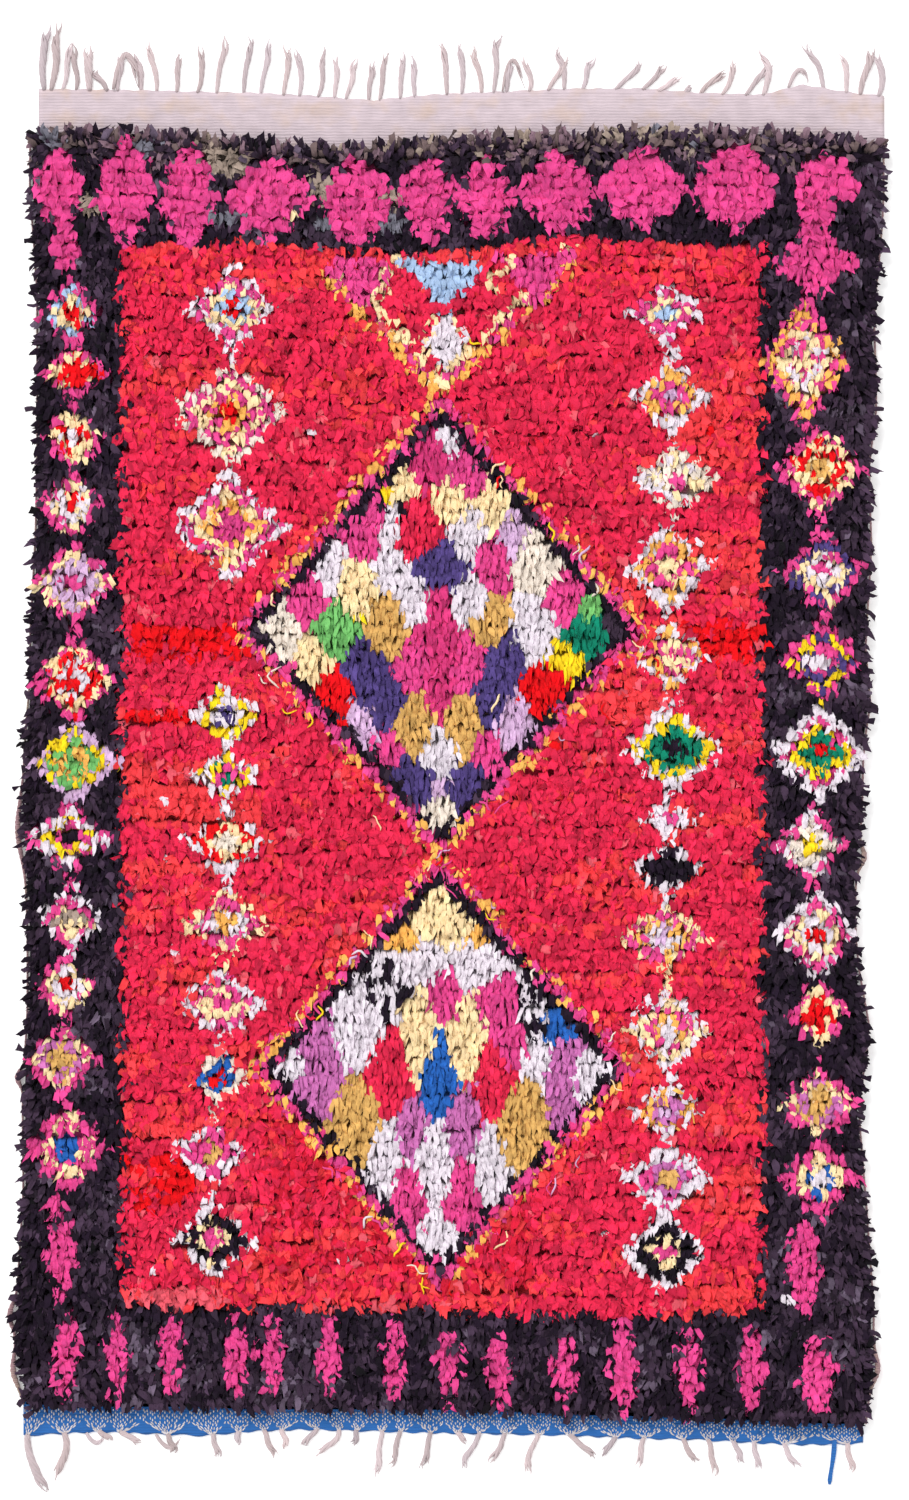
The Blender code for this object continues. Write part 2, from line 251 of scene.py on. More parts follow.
STREAKS = (
    Streak(-55.7, -37.4, 14.4, 20.5, "R", 0.85),
    Streak(-37.4, -30.0, 14.4, 18.5, "R", 0.5),
    Streak(41.5, 54.7, 14.4, 20.5, "R", 0.85),
    Streak(-55.7, -44.5, 3.0, 5.4, "R", 0.8),
    Streak(-56.5, -44.0, -81.0, -72.0, "R", 0.6),
    Streak(-10.0, 20.0, -1.5, 6.5, "R", 0.3),
    Streak(-56.5, -40.0, -99.5, -95.5, "s", 0.85),
    Streak(-25.0, -8.0, -99.5, -97.4, "s", 0.7),
    Streak(-54.0, 52.0, 79.0, 87.0, "c", 0.4),
    Streak(-32.0, 14.0, -96.0, -66.0, "d", 0.45),
    Streak(-54.0, -46.0, 26.0, 60.0, "r", 0.6),
    Streak(-35.0, 10.0, -99.5, -92.0, "c", 0.5),
    Streak(44.0, 54.0, -60.0, -20.0, "r", 0.6),
)
PINK_SPECKS = 0.03  # the share of the field's knots that are salmon, and white
WHITE_SPECKS = 0.0007
FIELD_RAGS = (("R", 0.12), ("c", 0.40), ("r", 0.84), ("d", 1.0))
BORDER_RAGS = (("K", 0.48), ("k", 0.80), ("u", 1.0))
BROWN_RAGS = (("t", 0.50), ("o", 0.62), ("k", 0.78), ("h", 0.88), ("l", 1.0))

# The chart below was read off the enlarged photograph. It is in centimetres from the chart's middle.
UPPER_PENNANTS = (
    Pennant(-15.2, 83.9, 5.6, 8.2, "P"),
    Pennant(15.2, 85.4, 7.2, 9.6, "P"),
    Pennant(-0.6, 83.9, 7.9, 8.8, "S"),
)
TOP_ROSETTES = (
    Motif(-68.0, 96.6, 3.9, 7.9, "P"),
    Motif(-67.1, 86.8, 2.4, 4.9, "P"),
    Motif(-56.5, 96.4, 5.0, 9.1, "P"),
    Motif(-45.5, 95.0, 4.8, 8.8, "P"),
    Motif(-31.2, 94.8, 7.3, 7.0, "P"),
    Motif(-16.0, 94.7, 5.8, 8.2, "P"),
    Motif(-3.8, 95.0, 4.9, 7.3, "P"),
    Motif(6.4, 94.7, 4.7, 7.0, "P"),
    Motif(19.2, 96.1, 6.6, 7.0, "P"),
    Motif(34.0, 96.8, 7.3, 7.0, "P"),
    Motif(50.0, 96.8, 7.5, 7.7, "P"),
    Motif(66.0, 97.6, 6.0, 4.6, "P"),
    Motif(64.2, 91.2, 2.6, 5.6, "P"),
)
BORDER_PATCHES = (
    Motif(-38.8, 101.0, 4.5, 2.6, "h"),
    Motif(-39.5, 91.4, 3.4, 1.6, "l"),
    Motif(-20.9, 90.8, 2.6, 1.6, "l"),
    Motif(-22.5, 96.4, 1.3, 2.4, "h"),
    Motif(-10.1, 94.5, 1.4, 2.2, "h"),
    Motif(-9.5, 90.7, 1.9, 1.5, "l"),
    Motif(-61.7, 93.3, 2.6, 1.5, "h"),
    Motif(-69.2, 105.4, 2.2, 1.8, "l"),
    Motif(-53.5, 104.1, 4.6, 1.4, "l"),
)
BOTTOM_SLIVERS = (
    Motif(-66.8, -107.8, 2.6, 8.2, "P"),
    Motif(-57.9, -107.2, 2.1, 8.4, "P"),
    Motif(-48.5, -107.4, 2.0, 7.8, "P"),
    Motif(-37.0, -107.4, 1.9, 8.2, "P"),
    Motif(-30.8, -107.1, 2.0, 8.2, "P"),
    Motif(-33.9, -107.3, 2.2, 1.4, "P"),
    Motif(-21.2, -107.4, 1.9, 7.8, "P"),
    Motif(-9.5, -107.8, 1.9, 8.0, "P"),
    Motif(-0.3, -109.2, 2.1, 8.0, "P"),
    Motif(8.8, -109.7, 2.4, 7.4, "P"),
    Motif(20.2, -110.1, 2.3, 6.8, "P"),
    Motif(30.5, -109.5, 2.5, 8.8, "P"),
    Motif(42.1, -110.1, 2.3, 8.2, "P"),
    Motif(52.9, -109.5, 2.6, 8.6, "P"),
    Motif(64.4, -111.1, 3.3, 7.4, "P"),
    Motif(-67.6, -89.4, 2.5, 9.8, "P"),
    Motif(62.1, -92.0, 3.0, 9.6, "P"),
    Motif(-68.7, -81.4, 1.4, 2.1, "P"),
)
WHITE_BITS = (
    Motif(-19.0, -90.6, 1.5, 0.9, "W"),
    Motif(59.3, -98.0, 1.2, 0.9, "W"),
    Motif(-27.4, 92.6, 1.2, 0.8, "C"),
)
LEFT_BORDER = (
    Motif(-65.9, 74.6, 5.8, 6.4, "PSCR"),
    Motif(-65.2, 64.2, 6.9, 4.9, "PCRR"),
    Motif(-65.7, 53.0, 5.7, 6.2, "PCRW"),
    Motif(-65.9, 41.4, 5.6, 6.5, "PCWR"),
    Motif(-65.5, 27.5, 7.9, 7.5, "PCLLP"),
    Motif(-65.4, 10.5, 7.9, 8.2, "PCRWR"),
    Motif(-65.7, -3.8, 8.2, 7.1, "LYEOE"),
    Motif(-66.2, -17.0, 7.9, 6.4, "PWYPK"),
    Motif(-66.1, -31.2, 5.8, 6.2, "WPCh"),
    Motif(-66.9, -43.0, 5.4, 6.2, "PCWR"),
    Motif(-67.6, -55.8, 6.3, 6.9, "PCVMM"),
    Motif(-66.6, -71.3, 7.6, 8.7, "PPCPBB"),
)
RIGHT_BORDER = (
    Motif(64.3, 83.4, 7.6, 6.4, "P"),
    Motif(62.2, 66.2, 8.0, 11.8, "POPCWPC"),
    Motif(64.8, 47.2, 7.9, 8.6, "PCRCM"),
    Motif(65.5, 29.6, 7.7, 7.5, "PNCWP"),
    Motif(65.2, 14.0, 7.5, 7.5, "PYNPW"),
    Motif(64.8, -2.1, 9.0, 8.8, "WWPYTTR"),
    Motif(63.4, -18.2, 6.8, 7.2, "PWIIY"),
    Motif(64.3, -33.9, 7.2, 8.2, "WPCWR"),
    Motif(64.5, -47.8, 5.6, 6.6, "PCRR"),
    Motif(64.7, -63.5, 7.2, 6.8, "PCVMM"),
    Motif(64.9, -76.6, 7.6, 7.4, "PPCBW"),
)
INNER_LEFT = (
    Motif(-37.7, 75.6, 7.9, 7.7, "WPCSR"),
    Motif(-38.2, 57.2, 10.5, 9.3, "IPCPOR"),
    Motif(-38.2, 37.4, 10.3, 10.1, "WPCOPP"),
    Motif(-38.8, 4.5, 6.8, 5.6, "WYWN"),
    Motif(-38.8, -5.9, 6.3, 4.5, "WYPT"),
    Motif(-38.8, -17.7, 7.9, 6.1, "WRCI"),
    Motif(-38.9, -31.7, 8.0, 5.6, "CPWO"),
    Motif(-39.6, -46.0, 8.0, 6.1, "WPCP"),
    Motif(-40.3, -59.0, 5.6, 4.2, "IBR"),
    Motif(-41.4, -72.0, 7.2, 5.8, "WPPM"),
    Motif(-41.1, -87.2, 7.4, 7.0, "WKKCP"),
)
INNER_RIGHT = (
    Motif(37.7, 74.7, 7.3, 5.4, "WPCS"),
    Motif(38.8, 60.3, 7.0, 6.6, "WOPL"),
    Motif(39.8, 45.8, 7.7, 5.9, "IWCIP"),
    Motif(38.4, 30.4, 7.7, 8.4, "WOPC"),
    Motif(38.9, 15.0, 6.5, 6.5, "WOPCP"),
    Motif(39.1, -1.4, 9.1, 7.9, "WYTTK"),
    Motif(38.4, -13.6, 4.9, 3.5, "WWP"),
    Motif(38.4, -22.0, 7.2, 4.8, "WKK"),
    Motif(37.7, -34.3, 8.4, 5.9, "CPOWL"),
    Motif(38.4, -50.4, 7.9, 7.3, "WCPOW"),
    Motif(38.2, -64.6, 6.5, 5.1, "WOVL"),
    Motif(38.1, -76.4, 8.0, 7.0, "WWPVM"),
    Motif(37.9, -89.3, 7.8, 7.4, "WKKCP"),
)
TOP_DIAMOND = (
    Motif(-0.6, 69.8, 4.6, 6.4, "CWWW"),
)
UPPER_PATCHES = (
    Motif(-0.3, 53.4, 1.4, 2.4, "W"),
    Motif(-4.6, 48.6, 3.1, 4.9, "G"),
    Motif(3.8, 47.2, 2.6, 4.5, "P"),
    Motif(-8.0, 45.5, 3.1, 4.2, "C"),
    Motif(-10.9, 44.1, 1.2, 1.4, "Y"),
    Motif(-9.4, 40.4, 2.1, 1.8, "K"),
    Motif(-5.2, 38.0, 4.2, 5.6, "r"),
    Motif(0.4, 41.5, 3.1, 3.5, "C"),
    Motif(8.1, 41.5, 3.5, 4.2, "C"),
    Motif(3.8, 35.9, 3.1, 4.9, "W"),
    Motif(10.8, 36.4, 2.6, 4.5, "L"),
    Motif(-14.8, 36.4, 3.7, 4.5, "P"),
    Motif(-10.6, 35.3, 1.8, 4.4, "W"),
    Motif(-10.2, 30.4, 3.1, 4.2, "W"),
    Motif(-1.3, 30.8, 4.0, 4.5, "N"),
    Motif(7.4, 31.0, 3.5, 5.2, "P"),
    Motif(14.8, 31.5, 3.7, 5.8, "I"),
    Motif(-20.6, 30.8, 2.6, 5.6, "W"),
    Motif(-15.8, 26.6, 3.3, 5.1, "C"),
    Motif(-24.6, 24.8, 3.7, 4.7, "P"),
    Motif(-6.6, 25.2, 3.0, 4.5, "W"),
    Motif(3.9, 25.2, 3.0, 4.5, "W"),
    Motif(19.9, 25.7, 3.1, 4.7, "P"),
    Motif(-30.0, 18.4, 4.4, 6.1, "I"),
    Motif(-19.9, 19.4, 3.8, 5.4, "E"),
    Motif(-16.2, 21.7, 1.2, 1.2, "Y"),
    Motif(-10.6, 19.9, 3.7, 6.3, "M"),
    Motif(7.4, 19.9, 3.3, 6.1, "M"),
    Motif(-1.6, 17.0, 3.0, 12.0, "G"),
    Motif(-6.6, 13.4, 3.0, 4.6, "P"),
    Motif(3.8, 13.4, 2.8, 4.6, "P"),
    Motif(14.8, 19.6, 3.7, 5.9, "W"),
    Motif(24.4, 23.2, 2.2, 1.9, "E"),
    Motif(24.6, 18.4, 3.8, 3.4, "T"),
    Motif(29.6, 18.8, 2.4, 5.0, "k"),
    Motif(20.2, 15.0, 3.5, 2.4, "Y"),
    Motif(-24.2, 14.3, 3.8, 5.4, "C"),
    Motif(-14.6, 11.7, 4.5, 6.1, "N"),
    Motif(-11.1, 6.5, 3.5, 4.9, "N"),
    Motif(9.0, 14.3, 3.8, 5.6, "N"),
    Motif(7.6, 7.3, 3.5, 5.2, "N"),
    Motif(-20.2, 8.2, 3.7, 5.4, "R"),
    Motif(15.5, 9.3, 3.3, 4.5, "R"),
    Motif(-15.8, 2.4, 3.3, 5.8, "L"),
    Motif(11.3, 3.5, 3.5, 6.1, "L"),
    Motif(-6.0, 2.6, 3.5, 5.8, "M"),
    Motif(2.9, 2.6, 3.1, 5.8, "M"),
    Motif(-10.6, -1.0, 3.1, 4.4, "P"),
    Motif(6.9, -1.4, 3.0, 4.5, "P"),
    Motif(-1.3, -1.8, 3.1, 4.9, "W"),
    Motif(-6.6, -6.6, 4.2, 4.5, "N"),
    Motif(3.4, -6.6, 3.8, 4.5, "N"),
    Motif(-1.3, -13.3, 3.1, 4.5, "I"),
    Motif(-1.3, -8.4, 1.6, 2.4, "L"),
)
LOWER_PATCHES = (
    Motif(-0.8, -30.6, 5.2, 4.9, "C"),
    Motif(-7.8, -35.0, 2.1, 2.1, "O"),
    Motif(5.7, -34.5, 2.1, 2.1, "O"),
    Motif(-5.2, -38.5, 4.5, 4.7, "W"),
    Motif(5.5, -38.5, 5.8, 4.4, "W"),
    Motif(-10.4, -43.2, 3.5, 5.8, "K"),
    Motif(14.1, -46.0, 2.8, 4.7, "K"),
    Motif(-0.8, -44.1, 3.0, 4.5, "P"),
    Motif(8.7, -46.0, 3.5, 5.9, "P"),
    Motif(10.4, -51.4, 2.8, 5.2, "P"),
    Motif(-15.7, -50.6, 4.7, 7.3, "W"),
    Motif(-5.2, -51.4, 3.7, 8.0, "C"),
    Motif(3.1, -52.3, 3.8, 7.3, "C"),
    Motif(-1.8, -57.7, 3.5, 7.7, "B"),
    Motif(-10.6, -57.7, 4.2, 7.9, "r"),
    Motif(7.4, -59.1, 3.8, 7.3, "r"),
    Motif(-22.1, -57.0, 3.8, 7.9, "V"),
    Motif(-27.7, -56.0, 2.4, 2.1, "W"),
    Motif(19.2, -49.7, 2.1, 2.4, "B"),
    Motif(15.5, -56.0, 2.4, 3.8, "W"),
    Motif(19.5, -60.0, 2.8, 7.0, "V"),
    Motif(23.4, -59.1, 1.8, 3.1, "W"),
    Motif(-16.0, -66.5, 4.7, 7.7, "M"),
    Motif(12.7, -67.5, 4.7, 7.2, "M"),
    Motif(-6.4, -67.4, 2.6, 5.4, "V"),
    Motif(2.7, -66.5, 3.5, 6.5, "V"),
    Motif(-11.3, -72.8, 3.5, 7.5, "W"),
    Motif(7.3, -73.5, 3.7, 7.2, "W"),
    Motif(-2.4, -74.0, 3.3, 7.2, "W"),
    Motif(-6.9, -79.8, 3.3, 6.3, "P"),
    Motif(2.5, -78.4, 3.8, 5.8, "P"),
    Motif(-2.4, -87.7, 3.3, 6.3, "W"),
)
# Each band of a medallion's outline: from one depth to another, and its rags by rising limits
MEDALLION_BANDS = (
    (-0.3, 0.9, (("O", 0.52), ("P", 0.70))),
    (0.9, 2.0, (("P", 0.62), ("G", 0.90), ("O", 1.0))),
    (2.0, 3.6, (("K", 0.80), ("k", 0.96), ("P", 1.0))),
)
UPPER_MEDALLION = Medallion(-1.4, 19.6, 36.6, 36.4, 42.0, 40.6, UPPER_PATCHES)
LOWER_MEDALLION = Medallion(-1.6, -57.2, 33.4, 34.6, 38.0, 39.2, LOWER_PATCHES)


def drift(x: np.ndarray, y: np.ndarray, wide: float, tall: float, seed: int) -> np.ndarray:
    """Smooth patches of lightness over the rug.

    Args:
        x: Distances across the rug.
        y: Distances along it.
        wide: How wide one patch is, in the same unit.
        tall: How tall it is.
        seed: Which patches.

    Returns:
        One number from 0 to 1 for each point.
    """
    lattice = np.random.default_rng(seed).random((64, 64))
    across, along = x / wide, y / tall
    column, row = np.floor(across).astype(int), np.floor(along).astype(int)
    u, v = across - column, along - row
    u, v = u * u * (3 - 2 * u), v * v * (3 - 2 * v)

    def corner(right: int, up: int) -> np.ndarray:
        """The lattice's numbers at one corner of each point's cell."""
        return lattice[(column + right) % 64, (row + up) % 64]

    low = corner(0, 0) * (1 - u) + corner(1, 0) * u
    high = corner(0, 1) * (1 - u) + corner(1, 1) * u
    return low * (1 - v) + high * v


def from_shares(shares: Sequence[tuple[str, float]], value: np.ndarray) -> np.ndarray:
    """Picks a rag for each value from 0 to 1, by rising limits."""
    limits = [limit for _, limit in shares]
    picked = np.searchsorted(limits, np.clip(value, 0, 0.9999))
    return rag_numbers("".join(key for key, _ in shares))[np.minimum(picked, len(shares) - 1)]


@dataclass
class Knots:
    """Points of the rug, in centimetres of the chart, and the rag and the zone that each is given."""

    x: np.ndarray
    y: np.ndarray
    rag: np.ndarray
    zone: np.ndarray

    def give(self, held: np.ndarray, rag: np.ndarray | int, kind: Zone) -> None:
        """Gives the held points a rag, or one each, and a zone."""
        self.rag[held] = rag
        self.zone[held] = kind.value


class Chart:
    """The rug's pattern, read at any point of the rug."""

    def __init__(self, dice: np.random.Generator) -> None:
        """Keeps the dice that decide which single knots stray."""
        self.dice = dice

    def read(self, x: np.ndarray, y: np.ndarray) -> tuple[np.ndarray, np.ndarray]:
        """Which rag is knotted at each point.

        Args:
            x: Distances across the rug, in metres.
            y: Distances along it.

        Returns:
            The rags' numbers, and the zones' numbers.
        """
        x, y = x / CM - CHART_MIDDLE[0], y / CM - CHART_MIDDLE[1]
        knots = Knots(x, y, self.border(x, y), np.full(x.shape, Zone.BORDER.value))
        top = np.interp(x, *zip(*FIELD_TOP))
        bottom = np.interp(x, *zip(*FIELD_BOTTOM))
        inside = (x > FIELD_LEFT) & (x < FIELD_RIGHT) & (y < top) & (y > bottom)
        knots.give(inside, self.field(x[inside], y[inside]), Zone.FIELD)
        for motif in BORDER_PATCHES:
            self.fill(knots, motif, Zone.BORDER, PATCH_ROUNDNESS)
        for motif in TOP_ROSETTES:
            self.fill(knots, motif, Zone.ROSETTES, ROSETTE_ROUNDNESS)
        for motif in BOTTOM_SLIVERS + WHITE_BITS:
            self.fill(knots, motif, Zone.LOZENGES, SLIVER_ROUNDNESS)
        for column in (LEFT_BORDER, RIGHT_BORDER, INNER_LEFT, INNER_RIGHT, TOP_DIAMOND):
            for motif in column + self.links(column):
                self.fill(knots, motif, Zone.LOZENGES, LOZENGE_ROUNDNESS)
        self.vee(knots, tuple(zip(VEE_CORNERS, VEE_CORNERS[1:])), VEE_WIDTH)
        for pennant in UPPER_PENNANTS:
            knots.give(pennant.holds(x, y), RAG_OF_KEY[pennant.key], Zone.LOZENGES)
        self.vee(knots, VEE_ARMS, VEE_WIDTH / 2)
        for medallion in (UPPER_MEDALLION, LOWER_MEDALLION):
            self.medallion(knots, medallion)
        return knots.rag, knots.zone

    def border(self, x: np.ndarray, y: np.ndarray) -> np.ndarray:
        """The black border, brown and grey along its upper edge."""
        value = 0.55 * drift(x, y, 5.0, 4.0, 3) + 0.45 * self.dice.random(x.shape)
        rag = from_shares(BORDER_RAGS, value)
        brown = drift(x, y, 7.0, 2.6, 4)
        chance = np.clip((y - BROWN_STRIP) / 6.0, 0, 0.85) * (0.35 + brown)
        stray = self.dice.random(x.shape) < chance
        rag[stray] = from_shares(BROWN_RAGS, 0.6 * brown + 0.4 * self.dice.random(x.shape))[stray]
        return rag

    def field(self, x: np.ndarray, y: np.ndarray) -> np.ndarray:
        """The red field, whose lots of rag run in uneven streaks across the rug."""
        broad = drift(x, y, 16.0, 4.5, 5)
        fine = drift(x, y, 5.0, 2.2, 6)
        value = 0.06 + 0.88 * (0.45 * broad + 0.33 * fine + 0.22 * self.dice.random(x.shape))
        rag = from_shares(FIELD_RAGS, value)
        for streak in STREAKS:
            held = (x > streak.left) & (x < streak.right) & (y > streak.low) & (y < streak.high)
            held &= self.dice.random(x.shape) < streak.share
            rag[held] = RAG_OF_KEY[streak.key]
        speck = self.dice.random(x.shape)
        rag[speck < PINK_SPECKS] = RAG_OF_KEY["s"]
        rag[speck < WHITE_SPECKS] = RAG_OF_KEY["W"]
        return rag

    def links(self, column: tuple[Motif, ...]) -> tuple[Motif, ...]:
        """The single tufts that join the lozenges of a column tip to tip."""
        made = []
        for upper, lower in zip(column, column[1:]):
            start, stop = upper.y - upper.half_height, lower.y + lower.half_height
            if 0 < start - stop < LONGEST_LINK:
                middle = (upper.x + lower.x) / 2
                half = (start - stop) / 2 + 0.9
                made.append(Motif(middle, (start + stop) / 2, 1.0, half, upper.rings[0]))
        return tuple(made)

    def fill(self, knots: Knots, motif: Motif, kind: Zone, roundness: float) -> None:
        """Writes one motif over the points that it covers.

        Args:
            knots: The points, which change.
            motif: The shape and its rings.
            kind: Its zone.
            roundness: 1 for a lozenge, 2 for an ellipse.
        """
        reach = motif.reach(knots.x, knots.y, roundness)
        held = reach < 1.0
        rings = len(motif.rings)
        ring = np.floor((1.0 - reach[held]) * (rings + 0.35)).astype(int)
        if rings > 1:
            roll = self.dice.random(ring.shape)
            ring = np.where(roll < 0.04, ring - 1, np.where(roll > 0.95, ring + 1, ring))
        ring = np.clip(ring, 0, rings - 1)
        knots.give(held, rag_numbers(motif.rings)[ring], kind)

    def vee(self, knots: Knots, lines: Sequence[tuple[Pair, Pair]], width: float) -> None:
        """Writes lines of the V under the top of the field.

        A line of the full width is yellow outside, pink between and cream inside. A thinner one is cream.

        Args:
            knots: The points, which change.
            lines: Each line's two ends, in centimetres.
            width: Half their width.
        """
        for (x0, y0), (x1, y1) in lines:
            run, rise = x1 - x0, y1 - y0
            length = math.hypot(run, rise)
            along = ((knots.x - x0) * run + (knots.y - y0) * rise) / length
            off = ((knots.x - x0) * rise - (knots.y - y0) * run) / length
            side = off / VEE_WIDTH + 0.45 * (self.dice.random(off.shape) - 0.5)
            kept = self.dice.random(off.shape) < 0.88
            held = (np.abs(off) < width) & (along > 0) & (along < length) & kept
            for key, low, high in VEE_BANDS:
                key = "C" if width < VEE_WIDTH else key
                knots.give(held & (side >= low) & (side < high), RAG_OF_KEY[key], Zone.LOZENGES)

    def medallion(self, knots: Knots, shape: Medallion) -> None:
        """Writes a medallion: an outline of yellow, pink and black knots, and its patches.

        Args:
            knots: The points, which change.
            shape: The medallion.
        """
        depth = shape.depth(knots.x, knots.y)
        roll = self.dice.random(depth.shape)
        nearest = np.full(depth.shape, np.inf)
        filled = knots.rag.copy()
        for patch in shape.patches:
            reach = patch.reach(knots.x, knots.y, PATCH_ROUNDNESS)
            closer = reach < nearest
            filled[closer] = RAG_OF_KEY[patch.rings[0]]
            nearest = np.where(closer, reach, nearest)
        speckled = (filled == RAG_OF_KEY["K"]) & (roll < 0.5)
        filled[speckled] = RAG_OF_KEY["W"]
        for low, high, shares in MEDALLION_BANDS:
            held = (depth >= low) & (depth < high) & (roll < shares[-1][1])
            knots.give(held, from_shares(shares, roll[held]), Zone.LOZENGES)
        inside = depth >= MEDALLION_BANDS[-1][1]
        knots.give(inside, filled[inside], Zone.MEDALLIONS)


@dataclass(frozen=True)
class Finish:
    """A cloth finish: what its colour, roughness and surface do.

    colour is the mean colour, from 0 to 255, or None where each vertex brings its own. rough is the mean
    roughness, grain the length of its fibres' bumps in metres, and relief the bumps' height. mottle is
    how much its lightness varies, ribs the pitch and depth of its wefts, and stain a second colour that
    shows in patches. stretch is how closely the fibres' bumps follow each other along each axis.
    """

    name: str
    colour: tuple[int, int, int] | None
    rough: float
    grain: float
    relief: float
    mottle: float
    sheen: float
    ribs: Pair = (0.0, 0.0)
    stain: tuple[int, int, int] | None = None
    stretch: tuple[float, float, float] = (1.0, 1.0, 1.0)


PILE_CLOTH = Finish(
    "knotted_jersey_rag",
    colour=None,
    rough=0.88,
    grain=2.6 * MM,
    relief=3.5 * MM,
    mottle=0.26,
    sheen=0.06,
    stretch=(1.0, 0.4, 0.7),
)
GROUND_CLOTH = Finish(
    "ground_weave",
    colour=None,
    rough=0.9,
    grain=1.6 * MM,
    relief=0.5 * MM,
    mottle=0.2,
    sheen=0.1,
    ribs=(3.75 * MM, 0.8 * MM),
)
WHITE_WEB_CLOTH = Finish(
    "white_cotton_web",
    colour=(207, 190, 197),
    rough=0.92,
    grain=1.8 * MM,
    relief=0.9 * MM,
    mottle=0.16,
    sheen=0.1,
    ribs=(5.2 * MM, 0.45 * MM),
    stain=(204, 180, 168),
    stretch=(0.07, 1.0, 0.3),
)
BLUE_WEB_CLOTH = Finish(
    "blue_rag_web",
    colour=(44, 103, 174),
    rough=0.82,
    grain=2.2 * MM,
    relief=0.7 * MM,
    mottle=0.16,
    sheen=0.2,
    ribs=(5.0 * MM, 0.9 * MM),
    stretch=(0.15, 1.0, 0.3),
)
WARP_COTTON = Finish(
    "warp_cotton",
    colour=None,
    rough=0.88,
    grain=0.9 * MM,
    relief=0.25 * MM,
    mottle=0.10,
    sheen=0.2,
)
SELVEDGE_WOOL = Finish(
    "selvedge_wool",
    colour=(176, 140, 146),
    rough=0.9,
    grain=1.4 * MM,
    relief=0.4 * MM,
    mottle=0.16,
    sheen=0.2,
    ribs=(4.0 * MM, 0.9 * MM),
    stain=(188, 172, 148),
)
FLOOR_PAINT = Finish(
    "plain_floor",
    colour=(250, 250, 250),
    rough=0.9,
    grain=4.0 * MM,
    relief=0.0,
    mottle=0.0,
    sheen=0.0,
)

VERTEX_COLOUR = "rag_colour"
BLOTCH_GRAINS = 14.0  # how many grains long a blotch of the colour is, and a fibre's bump
FIBRE_GRAINS = 1.5
STAIN_LENGTH = 50 * MM
STAIN_STOPS = ((0.50, (0, 0, 0, 1)), (0.78, (1, 1, 1, 1)))


def as_linear(colour: Sequence[int]) -> tuple[float, float, float, float]:
    """A daylight colour from 0 to 255 as Blender's linear colour."""
    dye = Dye("", *colour)
    return (*(float(part) for part in dye.linear()), 1.0)


class Wire:
    """A socket that carries a number. Python's operators add Math nodes to it."""

    def __init__(self, bench: Bench, socket: bpy.types.NodeSocket) -> None:
        """Wraps a socket of a bench's node tree."""
        self.bench = bench
        self.socket = socket

    def join(self, operation: str, first: object, second: object) -> Wire:
        """Adds a Math node.

        Args:
            operation: The node's operation.
            first: A wire or a number.
            second: The same.

        Returns:
            The node's result.
        """
        return self.bench.add("ShaderNodeMath", {"operation": operation}, {0: first, 1: second})

    def __add__(self, other: object) -> Wire:
        """This plus other."""
        return self.join("ADD", self, other)

    def __radd__(self, other: object) -> Wire:
        """Other plus this."""
        return self.join("ADD", other, self)

    def __sub__(self, other: object) -> Wire:
        """This less other."""
        return self.join("SUBTRACT", self, other)

    def __mul__(self, other: object) -> Wire:
        """This times other."""
        return self.join("MULTIPLY", self, other)

    def __rmul__(self, other: object) -> Wire:
        """Other times this."""
        return self.join("MULTIPLY", other, self)


class Bench:
    """One material's node tree, with its Principled shader."""

    def __init__(self, name: str) -> None:
        """Makes an empty material of that name."""
        self.material = bpy.data.materials.new(name)
        self.material.use_nodes = True
        self.tree = self.material.node_tree
        self.shader = self.tree.nodes["Principled BSDF"]

    def add(
        self,
        kind: str,
        settings: Mapping[str, object] | None = None,
        sockets: Mapping[int | str, object] | None = None,
        output: int | str = 0,
    ) -> Wire:
        """Adds any node.

        Args:
            kind: The node's type.
            settings: Its properties, set first. stops holds a ramp's places and colours.
            sockets: Values or wires by input name or number.
            output: Which output to return.

        Returns:
            That output as a wire.
        """
        node = self.tree.nodes.new(kind)
        for name, value in (settings or {}).items():
            if name == "stops":
                for number, (place, colour) in enumerate(value):
                    elements = node.color_ramp.elements
                    stop = elements[number] if number < 2 else elements.new(place)
                    stop.position = place
                    stop.color = colour
            else:
                setattr(node, name, value)
        for name, value in (sockets or {}).items():
            self.feed(node.inputs[name], value)
        return Wire(self, node.outputs[output])

    def feed(self, socket: bpy.types.NodeSocket, value: object) -> None:
        """Links a wire to a socket, or sets its value."""
        if isinstance(value, Wire):
            self.tree.links.new(value.socket, socket)
        else:
            socket.default_value = value

    def noise(self, place: Wire, length: float, detail: float = 2.0) -> Wire:
        """Smooth noise from 0 to 1, with patches of about that length in metres."""
        sockets = {"Vector": place, "Scale": 1.0 / length, "Detail": detail}
        return self.add("ShaderNodeTexNoise", {"normalize": True}, sockets, "Fac")

    def mix(self, share: object, first: object, second: object, way: str = "MIX") -> Wire:
        """Mixes two colours.

        Args:
            share: How much of the second.
            first: A colour or wire.
            second: The same.
            way: The blend type.

        Returns:
            The mixed colour.
        """
        settings = {"data_type": "RGBA", "blend_type": way}
        return self.add("ShaderNodeMix", settings, {0: share, 6: first, 7: second}, 2)


